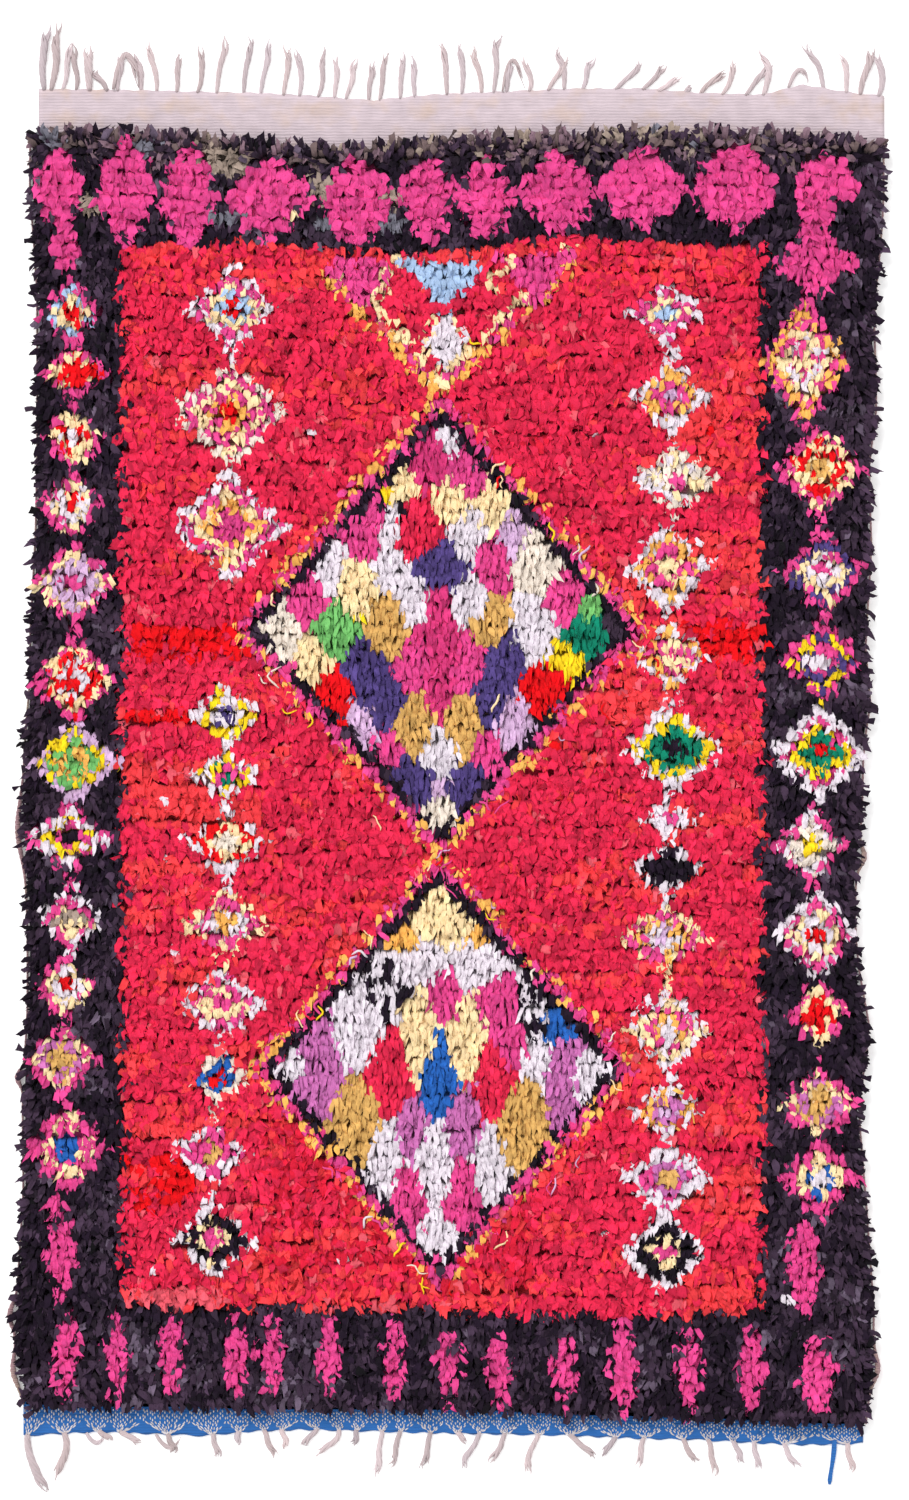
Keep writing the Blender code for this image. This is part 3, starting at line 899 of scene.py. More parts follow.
def dress(finish: Finish) -> bpy.types.Material:
    """Makes the material of a finish.

    Args:
        finish: The cloth and its sizes.

    Returns:
        A procedural material on Object coordinates and, where the finish has no colour, the pieces' own.
    """
    bench = Bench(finish.name)
    place = bench.add("ShaderNodeTexCoord", output="Object")
    blotch = bench.noise(place, BLOTCH_GRAINS * finish.grain)
    # The rags' creases run along them and lie along the rug, and the wefts lie across it
    along = bench.add("ShaderNodeVectorMath", {"operation": "MULTIPLY"}, {0: place, 1: finish.stretch})
    fibre = bench.noise(along, FIBRE_GRAINS * finish.grain, 4.0)
    if finish.colour is None:
        colour = bench.add("ShaderNodeAttribute", {"attribute_name": VERTEX_COLOUR}, output="Color")
    else:
        colour = as_linear(finish.colour)
    if finish.stain is not None:
        patch = bench.noise(place, STAIN_LENGTH, 3.0)
        ramp = bench.add("ShaderNodeValToRGB", {"stops": STAIN_STOPS}, {"Fac": patch}, "Color")
        share = bench.add("ShaderNodeRGBToBW", sockets={0: ramp})
        colour = bench.mix(share, colour, as_linear(finish.stain))
    shade = 1.0 + finish.mottle * (blotch + fibre - 1.0) * 2.0
    tint = bench.add("ShaderNodeCombineColor", sockets={0: shade, 1: shade, 2: shade})
    colour = bench.mix(1.0, colour, tint, "MULTIPLY")
    bench.feed(bench.shader.inputs["Base Color"], colour)
    bench.feed(bench.shader.inputs["Roughness"], finish.rough + 0.10 * (fibre - 0.5))
    bench.shader.inputs["Sheen Weight"].default_value = finish.sheen
    bench.shader.inputs["Sheen Roughness"].default_value = 0.5
    bench.shader.inputs["Specular IOR Level"].default_value = 0.15
    if finish.relief > 0:
        height = fibre
        pitch, depth = finish.ribs
        if pitch > 0:
            across = {"Vector": place, "Scale": math.pi / 10 / pitch, "Distortion": 2.0, "Detail": 2.0}
            ribs = bench.add("ShaderNodeTexWave", {"bands_direction": "Y"}, across, "Fac")
            height = fibre + ribs * (depth / finish.relief)
        sockets = {"Strength": 0.8, "Distance": finish.relief, "Height": height}
        bench.feed(bench.shader.inputs["Normal"], bench.add("ShaderNodeBump", None, sockets))
    return bench.material


@dataclass
class Outline:
    """The rug's edges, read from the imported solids. Each is a pair of rising places and edge places."""

    left: tuple[np.ndarray, np.ndarray]
    right: tuple[np.ndarray, np.ndarray]
    low: tuple[np.ndarray, np.ndarray]
    high: tuple[np.ndarray, np.ndarray]

    @classmethod
    def of_node(cls, name: str) -> Outline:
        """Reads the outline of a node's flat underside.

        Args:
            name: The node.

        Returns:
            Its four edges.
        """
        points = np.array([vert.co[:] for vert in frame["nodes"][name].data.vertices])
        rim = np.unique(points[points[:, 2] < 0.05 * MM][:, :2].round(5), axis=0)
        rim = rim[np.argsort(np.arctan2(rim[:, 1], rim[:, 0]))]
        corners = [int(np.argmax(rim @ way)) for way in ((-1, -1), (1, -1), (1, 1), (-1, 1))]
        low = rim[corners[0] : corners[1] + 1]
        right = rim[corners[1] : corners[2] + 1]
        high = rim[corners[2] : corners[3] + 1][::-1]
        left = np.concatenate([rim[corners[3] :], rim[: corners[0] + 1]])[::-1]
        return cls(
            left=(left[:, 1], left[:, 0]),
            right=(right[:, 1], right[:, 0]),
            low=(low[:, 0], low[:, 1]),
            high=(high[:, 0], high[:, 1]),
        )

    def sides(self, y: np.ndarray) -> tuple[np.ndarray, np.ndarray]:
        """The left and right edges at y."""
        return np.interp(y, *self.left), np.interp(y, *self.right)

    def ends(self, x: np.ndarray) -> tuple[np.ndarray, np.ndarray]:
        """The low and high edges at x."""
        return np.interp(x, *self.low), np.interp(x, *self.high)

    def at(self, across: np.ndarray, along: np.ndarray) -> tuple[np.ndarray, np.ndarray]:
        """Points for shares of the width and of the length.

        Args:
            across: From 0 at the left edge to 1 at the right.
            along: From 0 at the low edge to 1 at the high one.

        Returns:
            Their x and y.
        """
        y = self.low[1].mean() * (1 - along) + self.high[1].mean() * along
        left, right = self.sides(y)
        x = left * (1 - across) + right * across
        low, high = self.ends(x)
        return x, low * (1 - along) + high * along


class Bale:
    """Gathers many small meshes as arrays, and makes one object of them."""

    def __init__(self, name: str, finish: Finish, slot: str) -> None:
        """Starts an empty bale for a piece of that name and finish. slot, a material slot's name, is not used.
        """
        self.name = name
        self.finish = finish
        self.slot = slot
        self.points: list[np.ndarray] = []
        self.triangles: list[np.ndarray] = []
        self.colours: list[np.ndarray] = []
        self.places: list[np.ndarray] = []
        self.count = 0

    def put_copies(
        self,
        form: Tube | Strip,
        copies: np.ndarray,
        colours: np.ndarray | None = None,
        cell: int = 0,
        side: int | None = None,
    ) -> None:
        """Adds many copies of a form, each with a square of its own in the bake's map.

        Args:
            form: The tube or strip that they are copies of.
            copies: Their vertices: copies by vertices by 3.
            colours: Their linear colours, in the same order, where the finish has none.
            cell: The first one's square.
            side: Squares along one side of the map, or None where these are all the squares.
        """
        count, base = copies.shape[:2]
        side = side or math.ceil(math.sqrt(count))
        numbers = np.arange(count)
        triangles = self.count + form.triangles[None] + base * numbers[:, None, None]
        corner = np.stack([(cell + numbers) % side, (cell + numbers) // side], axis=1)
        places = (form.places[None] + corner[:, None, None, :]) / side
        self.points.append(copies.reshape(-1, 3))
        self.triangles.append(triangles.reshape(-1, 3))
        self.places.append(places.reshape(-1, 3, 2))
        if colours is not None:
            self.colours.append(colours.reshape(-1, 3))
        self.count += count * base

    def finished(self) -> bpy.types.Object:
        """Makes the object, dressed and riding on the rug."""
        points = np.concatenate(self.points).astype(np.float32)
        points[:, 2] = np.maximum(points[:, 2], 0.0)
        triangles = np.concatenate(self.triangles).astype(np.int32)
        mesh = bpy.data.meshes.new(self.name)
        mesh.vertices.add(len(points))
        mesh.vertices.foreach_set("co", points.ravel())
        mesh.loops.add(triangles.size)
        mesh.loops.foreach_set("vertex_index", triangles.ravel())
        mesh.polygons.add(len(triangles))
        mesh.polygons.foreach_set("loop_start", np.arange(0, triangles.size, 3, dtype=np.int32))
        mesh.polygons.foreach_set("use_smooth", np.ones(len(triangles), dtype=bool))
        if self.colours:
            colours = np.concatenate(self.colours)
            layer = mesh.color_attributes.new(VERTEX_COLOUR, "FLOAT_COLOR", "POINT")
            full = np.ones((len(colours), 4), dtype=np.float32)
            full[:, :3] = colours
            layer.data.foreach_set("color", full.ravel())
        layer = mesh.uv_layers.new(name="OFBake")
        layer.data.foreach_set("uv", np.concatenate(self.places).astype(np.float32).ravel())
        mesh.update()
        mesh.validate()
        return hang(self.name, mesh, self.finish)


MATERIALS: dict[str, bpy.types.Material] = {}


def hang(name: str, mesh: bpy.types.Mesh, finish: Finish) -> bpy.types.Object:
    """Links a piece of the rug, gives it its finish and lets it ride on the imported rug.

    Args:
        name: The piece's name.
        mesh: Its mesh, in its place.
        finish: Its cloth.

    Returns:
        The object.
    """
    if finish.name not in MATERIALS:
        MATERIALS[finish.name] = dress(finish)
    piece = bpy.data.objects.new(name, mesh)
    mesh.materials.clear()
    mesh.materials.append(MATERIALS[finish.name])
    bpy.context.scene.collection.objects.link(piece)
    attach(piece, "root")
    LOG.info("%s: %d triangles", name, sum(len(face.vertices) - 2 for face in mesh.polygons))
    return piece


@dataclass
class Tube:
    """A closed straight tube as arrays: its vertices' sections and corners, triangles and bake's map."""

    sides: int
    rings: int
    ring: np.ndarray
    corner: np.ndarray
    triangles: np.ndarray
    places: np.ndarray

    @classmethod
    def drawn(cls, sides: int, rings: int) -> Tube:
        """Extrudes a circle ring by ring along Z.

        Args:
            sides: Corners of its section.
            rings: Sections.

        Returns:
            The tube.
        """
        bm = bmesh.new()
        ring_of = bm.verts.layers.int.new("ring")
        corner_of = bm.verts.layers.int.new("corner")
        start = bmesh.ops.create_circle(bm, cap_ends=True, radius=1.0, segments=sides)
        for vert in start["verts"]:
            vert[corner_of] = round(math.atan2(vert.co.y, vert.co.x) / (2 * math.pi) * sides) % sides
        rim = list(bm.edges)
        for ring in range(1, rings):
            grown = bmesh.ops.extrude_edge_only(bm, edges=rim)["geom"]
            fresh = {item for item in grown if isinstance(item, bmesh.types.BMVert)}
            for vert in fresh:
                vert.co.z = ring
                vert[ring_of] = ring
            edges = [item for item in grown if isinstance(item, bmesh.types.BMEdge)]
            rim = [edge for edge in edges if fresh.issuperset(edge.verts)]
        bmesh.ops.contextual_create(bm, geom=rim)
        bmesh.ops.recalc_face_normals(bm, faces=bm.faces)
        bmesh.ops.triangulate(bm, faces=bm.faces)
        bm.verts.index_update()
        ring = np.array([vert[ring_of] for vert in bm.verts])
        corner = np.array([vert[corner_of] for vert in bm.verts])
        triangles = np.array([[vert.index for vert in face.verts] for face in bm.faces])
        bm.free()
        places = np.array([cls.unrolled(ring[face], corner[face], sides, rings) for face in triangles])
        return cls(sides, rings, ring, corner, triangles, places)

    @staticmethod
    def unrolled(ring: np.ndarray, corner: np.ndarray, sides: int, rings: int) -> list[tuple[float, float]]:
        """Where a triangle's corners lie on the tube's own square of the bake's map.

        Args:
            ring: The sections of its three vertices.
            corner: Their corners.
            sides: Corners of a section.
            rings: Sections.

        Returns:
            Three places, from 0 to 1.
        """
        if ring.min() == ring.max():
            middle = 0.25 if ring[0] == 0 else 0.75
            turns = 2 * math.pi * corner / sides
            return [(middle + 0.1 * math.cos(turn), 0.86 + 0.1 * math.sin(turn)) for turn in turns]
        if corner.max() - corner.min() > sides / 2:
            corner = np.where(corner < sides / 2, corner + sides, corner)
        return [(0.04 + 0.92 * c / sides, 0.04 + 0.66 * r / (rings - 1)) for c, r in zip(corner, ring)]

    def laid(self, path: np.ndarray, radius: np.ndarray, squash: float = 1.0) -> np.ndarray:
        """Bends the tube along a path on the floor.

        Args:
            path: A point for each ring, on a line that is never upright.
            radius: The tube's radius at each ring.
            squash: Its height over its width.

        Returns:
            Its vertices.
        """
        ahead = np.gradient(path, axis=0)
        ahead /= np.linalg.norm(ahead, axis=1, keepdims=True)
        side = np.cross(ahead, (0.0, 0.0, 1.0))
        side /= np.linalg.norm(side, axis=1, keepdims=True)
        up = np.cross(ahead, side)
        turn = 2 * math.pi * self.corner / self.sides
        wide = (radius[self.ring] * np.cos(turn))[:, None]
        tall = (radius[self.ring] * np.sin(turn) * squash)[:, None]
        return path[self.ring] + wide * side[self.ring] + tall * up[self.ring]


@dataclass
class Strip:
    """A flat strip of cloth as arrays: how far across and along it each vertex is, and the bake's map."""

    across: np.ndarray
    share: np.ndarray
    triangles: np.ndarray
    places: np.ndarray

    @classmethod
    def drawn(cls, columns: int, rows: int) -> Strip:
        """Makes the strip from a grid.

        Args:
            columns: Cells across it.
            rows: Cells along it.

        Returns:
            The strip. across runs from -1 to 1, and share from 0 at the knot to 1 at the cut.
        """
        bm = bmesh.new()
        bmesh.ops.create_grid(bm, x_segments=columns, y_segments=rows, size=0.5)
        bmesh.ops.triangulate(bm, faces=bm.faces)
        bm.verts.index_update()
        points = np.array([vert.co[:2] for vert in bm.verts])
        triangles = np.array([[vert.index for vert in face.verts] for face in bm.faces])
        bm.free()
        places = 0.06 + 0.88 * (points[triangles] + 0.5)
        return cls(2 * points[:, 0], 0.5 - points[:, 1], triangles, places)


@dataclass(frozen=True)
class TuftForm:
    """How one cut rag end stands out of its knot.

    tip is the width of its end as a share, slant how oblique the cut is, fold how sharply the strip is
    folded along its middle, droop how far the end hangs, and curl how far its edges turn up. top is how
    far along the rag its highest point is, as a share. The rest are sizes in metres.
    """

    tip: float
    slant: float
    fold: float
    droop: float
    curl: float
    top: float = 0.62
    reach: float = 24 * MM
    height: float = 25 * MM
    width: float = 13 * MM
    depth: float = 2.8 * MM

    def points(self, strip: Strip) -> np.ndarray:
        """Bends and folds a strip into the rag.

        Args:
            strip: The flat strip.

        Returns:
            Its vertices, with the knot at the origin and the rag leaning to -Y.
        """
        middle = self.spine(strip.share)
        forward = self.spine(strip.share + 0.02) - middle
        forward /= np.linalg.norm(forward, axis=1, keepdims=True)
        up = np.cross(forward, (1.0, 0.0, 0.0))
        wide = np.interp(strip.share, (0.0, 0.4, 0.75, 1.0), (0.45, 0.95, 1.0, self.tip))
        edge = np.abs(strip.across)
        lift = self.depth * np.minimum(1, 2 * strip.share) * (self.curl * edge**2 - self.fold * (1 - edge))
        points = middle + lift[:, None] * up
        points[:, 0] += self.width / 2 * wide * strip.across
        cut = np.where(strip.share > 0.99, self.slant * strip.across * self.width / 2, 0.0)
        return points + cut[:, None] * forward

    def spine(self, share: np.ndarray) -> np.ndarray:
        """The rag's middle line, which rises out of the knot and bends over."""
        over = self.top
        rise = np.sin(math.pi / 2 * np.minimum(1.0, share / over))
        rise -= self.droop * np.maximum(0.0, share - over) / (1 - over)
        return np.stack([0 * share, -self.reach * share**1.35, self.height * rise], axis=1)


TUFT_FORMS = (
    TuftForm(0.80, 0.45, 0.55, 0.12, 0.3),
    TuftForm(0.95, -0.50, -0.60, 0.20, 0.4),
    TuftForm(0.25, 0.20, 0.70, 0.28, 0.1),
    TuftForm(1.10, 0.60, 0.40, 0.06, -0.6),
    TuftForm(0.60, -0.75, -0.45, 0.14, 0.7),
    TuftForm(0.85, 0.10, 0.95, 0.32, -0.3),
    TuftForm(1.05, -0.20, -0.80, 0.24, 0.0),
)


@dataclass(frozen=True)
class Combing:
    """How a zone's knots are cut and lie.

    fan is the degrees over which a knot's ends open, and turn how many they stray. width, reach and
    height are shares of the usual. tier is how far up the rug a row's second knots stand, and crumple how
    far the cloth's points stray, both in metres.
    """

    fan: float
    turn: float
    width: float
    reach: float
    height: float
    tier: float
    crumple: float


COMBING = {
    Zone.BORDER: Combing(50, 20, 0.70, 1.0, 0.96, 9.0 * MM, 1.5 * MM),
    Zone.FIELD: Combing(22, 24, 0.92, 1.0, 0.96, 4.5 * MM, 2.2 * MM),
    Zone.ROSETTES: Combing(14, 17, 1.05, 1.0, 1.04, 1.5 * MM, 2.0 * MM),
    Zone.LOZENGES: Combing(24, 16, 0.70, 0.92, 0.98, 7.0 * MM, 1.2 * MM),
    Zone.MEDALLIONS: Combing(8, 9, 0.60, 1.10, 0.98, 6.0 * MM, 1.1 * MM),
}


@dataclass
class Pile:
    """The knotted pile.

    Rows of knots run across the rug, in two tiers. Each knot holds two cut rag ends of one colour, which
    lean towards the low end and overlap the next row, as they do where a rug has been walked on. The
    insets run from the ground's edges to the outer knots, and the strays are how far single knots miss
    their place. row_drift and row_waver are how far the rows move in patches, and each by itself. The rim's
    extra rags turn out by rim_turn degrees. shown is how far from a knot the part of it that shows lies,
    and size_limits are the smallest and largest share of the usual size.
    """

    outline: Outline
    chart: Chart
    dice: np.random.Generator
    row_pitch: float = 21.5 * MM
    knot_pitch: float = 5.6 * MM
    ends: int = 2
    side_inset: float = 9 * MM
    low_inset: float = 19 * MM
    high_inset: float = 22 * MM
    rim_band: float = 32 * MM
    parting: float = 27 * MM
    ceiling: float = 40 * MM
    pile_height: float = 25.5 * MM
    lump_height: float = 8.5 * MM
    lump_length: float = 85 * MM
    most_tufts: int = 15500
    shown: float = 16 * MM
    shown_tier: float = 8 * MM
    stray_across: float = 1.5 * MM
    stray_along: float = 2.4 * MM
    row_drift: float = 15.0 * MM
    row_waver: float = 9.0 * MM
    rim_pitch: float = 6.0 * MM
    rim_ends: Pair = (6 * MM, 8 * MM)
    rim_inset: Pair = (8 * MM, 20 * MM)
    rim_turn: float = 70.0
    parting_pitch: float = 3.0 * MM
    size_spread: float = 0.14
    size_limits: Pair = (0.65, 1.4)

    def lumps(self, x: np.ndarray, y: np.ndarray) -> np.ndarray:
        """The height of the pile over the mean, as a share, in the lumps that the solid has."""
        points = np.stack([x, y / 0.7, np.zeros_like(x)], axis=1) / self.lump_length
        rise = [0.75 * noise.noise(Vector(p)) + 0.5 * noise.noise(Vector(p * 2.3)) for p in points]
        return 1.0 + self.lump_height / self.pile_height * np.array(rise)

    def knots(self) -> tuple[np.ndarray, np.ndarray, np.ndarray]:
        """Where the knots sit on the ground: x, y and tier."""
        low, high = self.outline.low[1].mean(), self.outline.high[1].mean()
        rows = round((high - low - self.low_inset - self.high_inset) / self.row_pitch)
        xs, ys, tiers = [], [], []
        for row in range(rows + 1):
            along = row / rows
            left, right = self.outline.sides(low * (1 - along) + high * along)
            count = round((right - left) / self.knot_pitch)
            slots = (np.arange(count) + 0.25 + 0.5 * (row % 2)) / count
            x = left + self.side_inset + slots * (right - left - 2 * self.side_inset)
            x += self.dice.normal(0, self.stray_across, count)
            near, far = self.outline.ends(x)
            y = (near + self.low_inset) * (1 - along) + (far - self.high_inset) * along
            y += self.dice.normal(0, self.stray_along, count)
            tiers.append(np.arange(count) % 2)
            # Each row strays on its own too, so that rows part in one place and crowd in another. The last
            # rows stay near the ends of the ground.
            loose = 0.15 + 0.85 * min(1.0, 14 * along, 14 * (1 - along))
            y += self.row_drift * loose * (drift(x / CM, y / CM, 6.0, 5.0, 8) - 0.5)
            own = drift(x / CM, np.full(count, 7.0 * row), 14.0, 1.0, 11) - 0.5
            y += self.row_waver * loose * own
            xs.append(x)
            ys.append(y)
        return np.concatenate(xs), np.concatenate(ys), np.concatenate(tiers)

    def headings(self, x: np.ndarray, y: np.ndarray) -> np.ndarray:
        """Which way each knot leans: an angle from the low end, towards the right.

        Args:
            x: Where the knots sit.
            y: The same.

        Returns:
            The angles. At the rim they turn out over the edge.
        """
        left, right = self.outline.sides(y)
        high = self.outline.ends(x)[1]
        out_x = np.clip(1 - (right - x) / self.rim_band, 0, 1) - np.clip(1 - (x - left) / self.rim_band, 0, 1)
        out_y = 2.6 * np.clip(1.2 - (high - y) / self.rim_band, 0, 1)
        return np.arctan2(1.4 * out_x, 1.0 - out_y)

    def rim_knots(self) -> tuple[np.ndarray, np.ndarray, np.ndarray]:
        """The extra rag ends that hide the selvedges, and the parting where the last row turns up.

        Returns:
            Their x, y and headings.
        """
        low, high = self.outline.low[1].mean(), self.outline.high[1].mean()
        y = np.arange(low + self.rim_ends[0], high - self.rim_ends[1], self.rim_pitch)
        y += self.dice.normal(0, 2.5 * MM, len(y))
        left, right = self.outline.sides(y)
        outward = self.dice.normal(math.radians(self.rim_turn), 0.5, (2, len(y)))
        inset = self.dice.uniform(*self.rim_inset, (2, len(y)))
        x = np.arange(self.outline.left[1].max(), self.outline.right[1].min(), self.parting_pitch)
        top = self.outline.ends(x)[1] - self.parting + self.dice.normal(0, 3 * MM, len(x))
        turned = self.dice.uniform(-math.pi, math.pi, len(x))
        return (
            np.concatenate([left + inset[0], right - inset[1], x]),
            np.concatenate([y, y, top]),
            np.concatenate([-outward[0], outward[1], turned]),
        )

    def build(self) -> list[bpy.types.Object]:
        """Makes the pile, as one piece for each part of the pattern.

        Returns:
            The pieces.
        """
        x, y, tier = self.knots()
        rim_x, rim_y, rim_heading = self.rim_knots()
        heading = np.concatenate([self.headings(x, y), rim_heading])
        ends = np.repeat([self.ends, 1], [len(x), len(rim_x)])
        tier = np.concatenate([tier, np.zeros(len(rim_x))])
        x, y = np.concatenate([x, rim_x]), np.concatenate([y, rim_y])
        # The part of a knot that shows lies some way from it, where it leans
        seen_y = y - self.shown * np.cos(heading) + self.shown_tier * tier
        rag, zone = self.chart.read(x + self.shown * np.sin(heading), seen_y)
        y += tier * [COMBING[Zone(number)].tier for number in zone]
        knot = np.repeat(np.arange(len(x)), ends)
        across = (np.arange(len(knot)) - np.repeat(np.cumsum(ends) - ends, ends) + 0.5) / ends[knot] - 0.5
        zone, rag = zone[knot], rag[knot]
        combing = [COMBING[Zone(number)] for number in zone]
        heading = heading[knot] + np.radians([comb.fan for comb in combing]) * across
        heading += np.radians([comb.turn for comb in combing]) * self.dice.normal(0, 1, len(knot))
        strays = self.dice.normal(0, 1.0 * MM, (2, len(knot)))
        x = x[knot] + 2 * self.knot_pitch * across + strays[0]
        y = y[knot] + strays[1]
        size = self.dice.normal(1.0, self.size_spread, (3, len(x))).clip(*self.size_limits)
        size[0] *= [comb.width for comb in combing]
        size[1] *= np.array([comb.reach for comb in combing]) * np.where(ends[knot] == 1, 0.8, 1.0)
        size[2] *= np.array([comb.height for comb in combing]) * self.lumps(x, y)
        crumple = np.array([comb.crumple for comb in combing])
        light = 1.0 + SPREAD[rag] * self.dice.normal(0, 1, len(x)).clip(-2.2, 2.2)
        colour = (LINEAR[rag] * light[:, None]).clip(0.003, 0.98)
        strip = Strip.drawn(columns=2, rows=3)
        # Painted shade: rags are painted darker towards the knot, in the depth of the pile, pale ones less
        # because light passes through them, and their outer parts a little lighter than their colour, a
        # painted highlight
        painted_root_shade = 0.46 + 0.32 * colour.mean(axis=1, keepdims=True) ** 0.6
        rise = np.clip(strip.share * 1.9, 0, 1)[None]
        which = self.dice.integers(0, len(TUFT_FORMS), len(x))
        pieces = []
        for name, members in self.shares(zone, y):
            bale = Bale(name, PILE_CLOTH, "rag_pile")
            side = math.ceil(math.sqrt(len(members)))
            cells = 0
            for number, form in enumerate(TUFT_FORMS):
                held = members[which[members] == number]
                bent = form.points(strip)
                stands = np.stack([x[held], y[held], heading[held]])
                tufts = self.planted(bent, strip.share, stands, size[:, held], crumple[held])
                # Painted shade at the root, rising to a slight painted highlight towards the cut end
                painted_shade = painted_root_shade[held] + (1.04 - painted_root_shade[held]) * rise
                colours = colour[held][:, None, :] * painted_shade[:, :, None]
                bale.put_copies(strip, tufts, colours, cells, side)
                cells += len(held)
            pieces.append(bale.finished())
        return pieces

    def shares(self, zone: np.ndarray, y: np.ndarray) -> list[tuple[str, np.ndarray]]:
        """Splits the tufts into named pieces that each stay small enough.

        Args:
            zone: The tufts' zones.
            y: Where they stand.

        Returns:
            Each piece's name and its tufts' numbers.
        """
        parted = []
        for kind in Zone:
            members = np.flatnonzero(zone == kind.value)
            members = members[np.argsort(-y[members], kind="stable")]
            parts = math.ceil(len(members) / self.most_tufts)
            for number, part in enumerate(np.array_split(members, parts)):
                suffix = f"_{number + 1}" if parts > 1 else ""
                parted.append((f"pile_{kind.name.lower()}{suffix}", part))
        return parted

    def planted(
        self, bent: np.ndarray, share: np.ndarray, stands: np.ndarray, size: np.ndarray, crumple: np.ndarray
    ) -> np.ndarray:
        """Copies one form to many places.

        Args:
            bent: The form's vertices.
            share: How far along the rag each of them is.
            stands: The copies' x, y and headings.
            size: Their width, reach and height, as shares.
            crumple: How far their points stray, in metres.

        Returns:
            Their vertices: copies by vertices by 3.
        """
        x, y, heading = stands
        points = bent[None] * size.T[:, None, :]
        roll = self.dice.normal(0, 0.30, len(x))
        points[:, :, 2] += roll[:, None] * points[:, :, 0] * share[None]
        stray = self.dice.normal(0, 1, points.shape) * crumple[:, None, None]
        points = points + stray * np.clip(share * 1.5, 0.1, 1.0)[None, :, None]
        sway = self.dice.normal(0, 2.5 * MM, len(x))
        points[:, :, 0] += sway[:, None] * share[None] ** 2
        cos, sin = np.cos(heading)[:, None], np.sin(heading)[:, None]
        turned_x = points[:, :, 0] * cos - points[:, :, 1] * sin
        turned_y = points[:, :, 0] * sin + points[:, :, 1] * cos
        lifted = np.clip(points[:, :, 2] + 2.0 * MM, 1.0 * MM, self.ceiling)
        return np.stack([turned_x + x[:, None], turned_y + y[:, None], lifted], axis=2)


class Cross(Enum):
    """The cross edges of the rug: each one's column in EDGES, whose first column is the place across."""

    WHITE_EDGE = 1
    PILE_TOP = 2
    PILE_BOTTOM = 3
    BLUE_EDGE = 4


MIDDLE = (0.0018, 0.0192)  # the middle of the whole rug, in the coordinates of the edges and strands below
EDGES = (
    (-0.78, 1.183, 1.110, -1.121, -1.176),
    (-0.61, 1.182, 1.111, -1.127, -1.167),
    (-0.43, 1.178, 1.103, -1.127, -1.174),
    (-0.34, 1.176, 1.092, -1.132, -1.166),
    (-0.25, 1.172, 1.084, -1.131, -1.163),
    (-0.13, 1.163, 1.082, -1.131, -1.166),
    (-0.03, 1.173, 1.090, -1.132, -1.169),
    (0.09, 1.178, 1.103, -1.134, -1.171),
    (0.20, 1.183, 1.104, -1.140, -1.173),
    (0.34, 1.184, 1.111, -1.144, -1.179),
    (0.44, 1.176, 1.108, -1.146, -1.181),
    (0.55, 1.173, 1.108, -1.151, -1.187),
    (0.62, 1.190, 1.106, -1.155, -1.190),
    (0.71, 1.176, 1.096, -1.157, -1.188),
    (0.78, 1.169, 1.089, -1.157, -1.184),
)
WHITE_WEB_SIDES = (-0.715, 0.764)
BLUE_WEB_SIDES = (-0.742, 0.727)


def edge_at(edge: Cross, x: np.ndarray) -> np.ndarray:
    """A cross edge of the rug at x, in the rug's own frame."""
    table = np.array(EDGES)
    return np.interp(x + MIDDLE[0], table[:, 0], table[:, edge.value]) - MIDDLE[1]


def ripple(x: np.ndarray, y: np.ndarray) -> np.ndarray:
    """How far the white web lifts off the floor: in ripples, and where a knotted warp end bunches it."""
    rise = np.clip((y - edge_at(Cross.PILE_TOP, x) + 4 * MM) / 0.05, 0, 1)
    across = x + MIDDLE[0]
    wave = np.sin(2 * math.pi * across / 0.21 + 1.7 * np.sin(3.1 * across))
    pucker = np.exp(-(((across - 0.62) / 0.05) ** 2))
    return 3.5 * MM * rise * (0.5 * np.maximum(0.0, wave) ** 2 + pucker)


@dataclass(frozen=True)
class Weave:
    """A woven sheet's grid and its thickness in metres."""

    columns: int
    rows: int
    thickness: float = 3.0 * MM

    def drawn(self, name: str, place: Callable[[np.ndarray, np.ndarray], np.ndarray]) -> bpy.types.Mesh:
        """Makes the sheet as one closed mesh.

        Args:
            name: The mesh's name.
            place: Gives the underside's points, n by 3, for shares across and along it.

        Returns:
            The mesh.
        """
        bm = bmesh.new()
        bmesh.ops.create_grid(bm, x_segments=self.columns, y_segments=self.rows, size=0.5)
        bmesh.ops.reverse_faces(bm, faces=bm.faces)
        made = bmesh.ops.extrude_face_region(bm, geom=list(bm.faces), use_keep_orig=True)["geom"]
        top = {item for item in made if isinstance(item, bmesh.types.BMVert)}
        verts = list(bm.verts)
        shares = np.array([vert.co[:2] for vert in verts]) + 0.5
        for vert, point in zip(verts, place(shares[:, 0], shares[:, 1])):
            vert.co = Vector(point)
            vert.co.z += self.thickness if vert in top else 0.0
        bmesh.ops.recalc_face_normals(bm, faces=bm.faces)
        for face in bm.faces:
            face.smooth = True
        mesh = bpy.data.meshes.new(name)
        bm.to_mesh(mesh)
        bm.free()
        return mesh


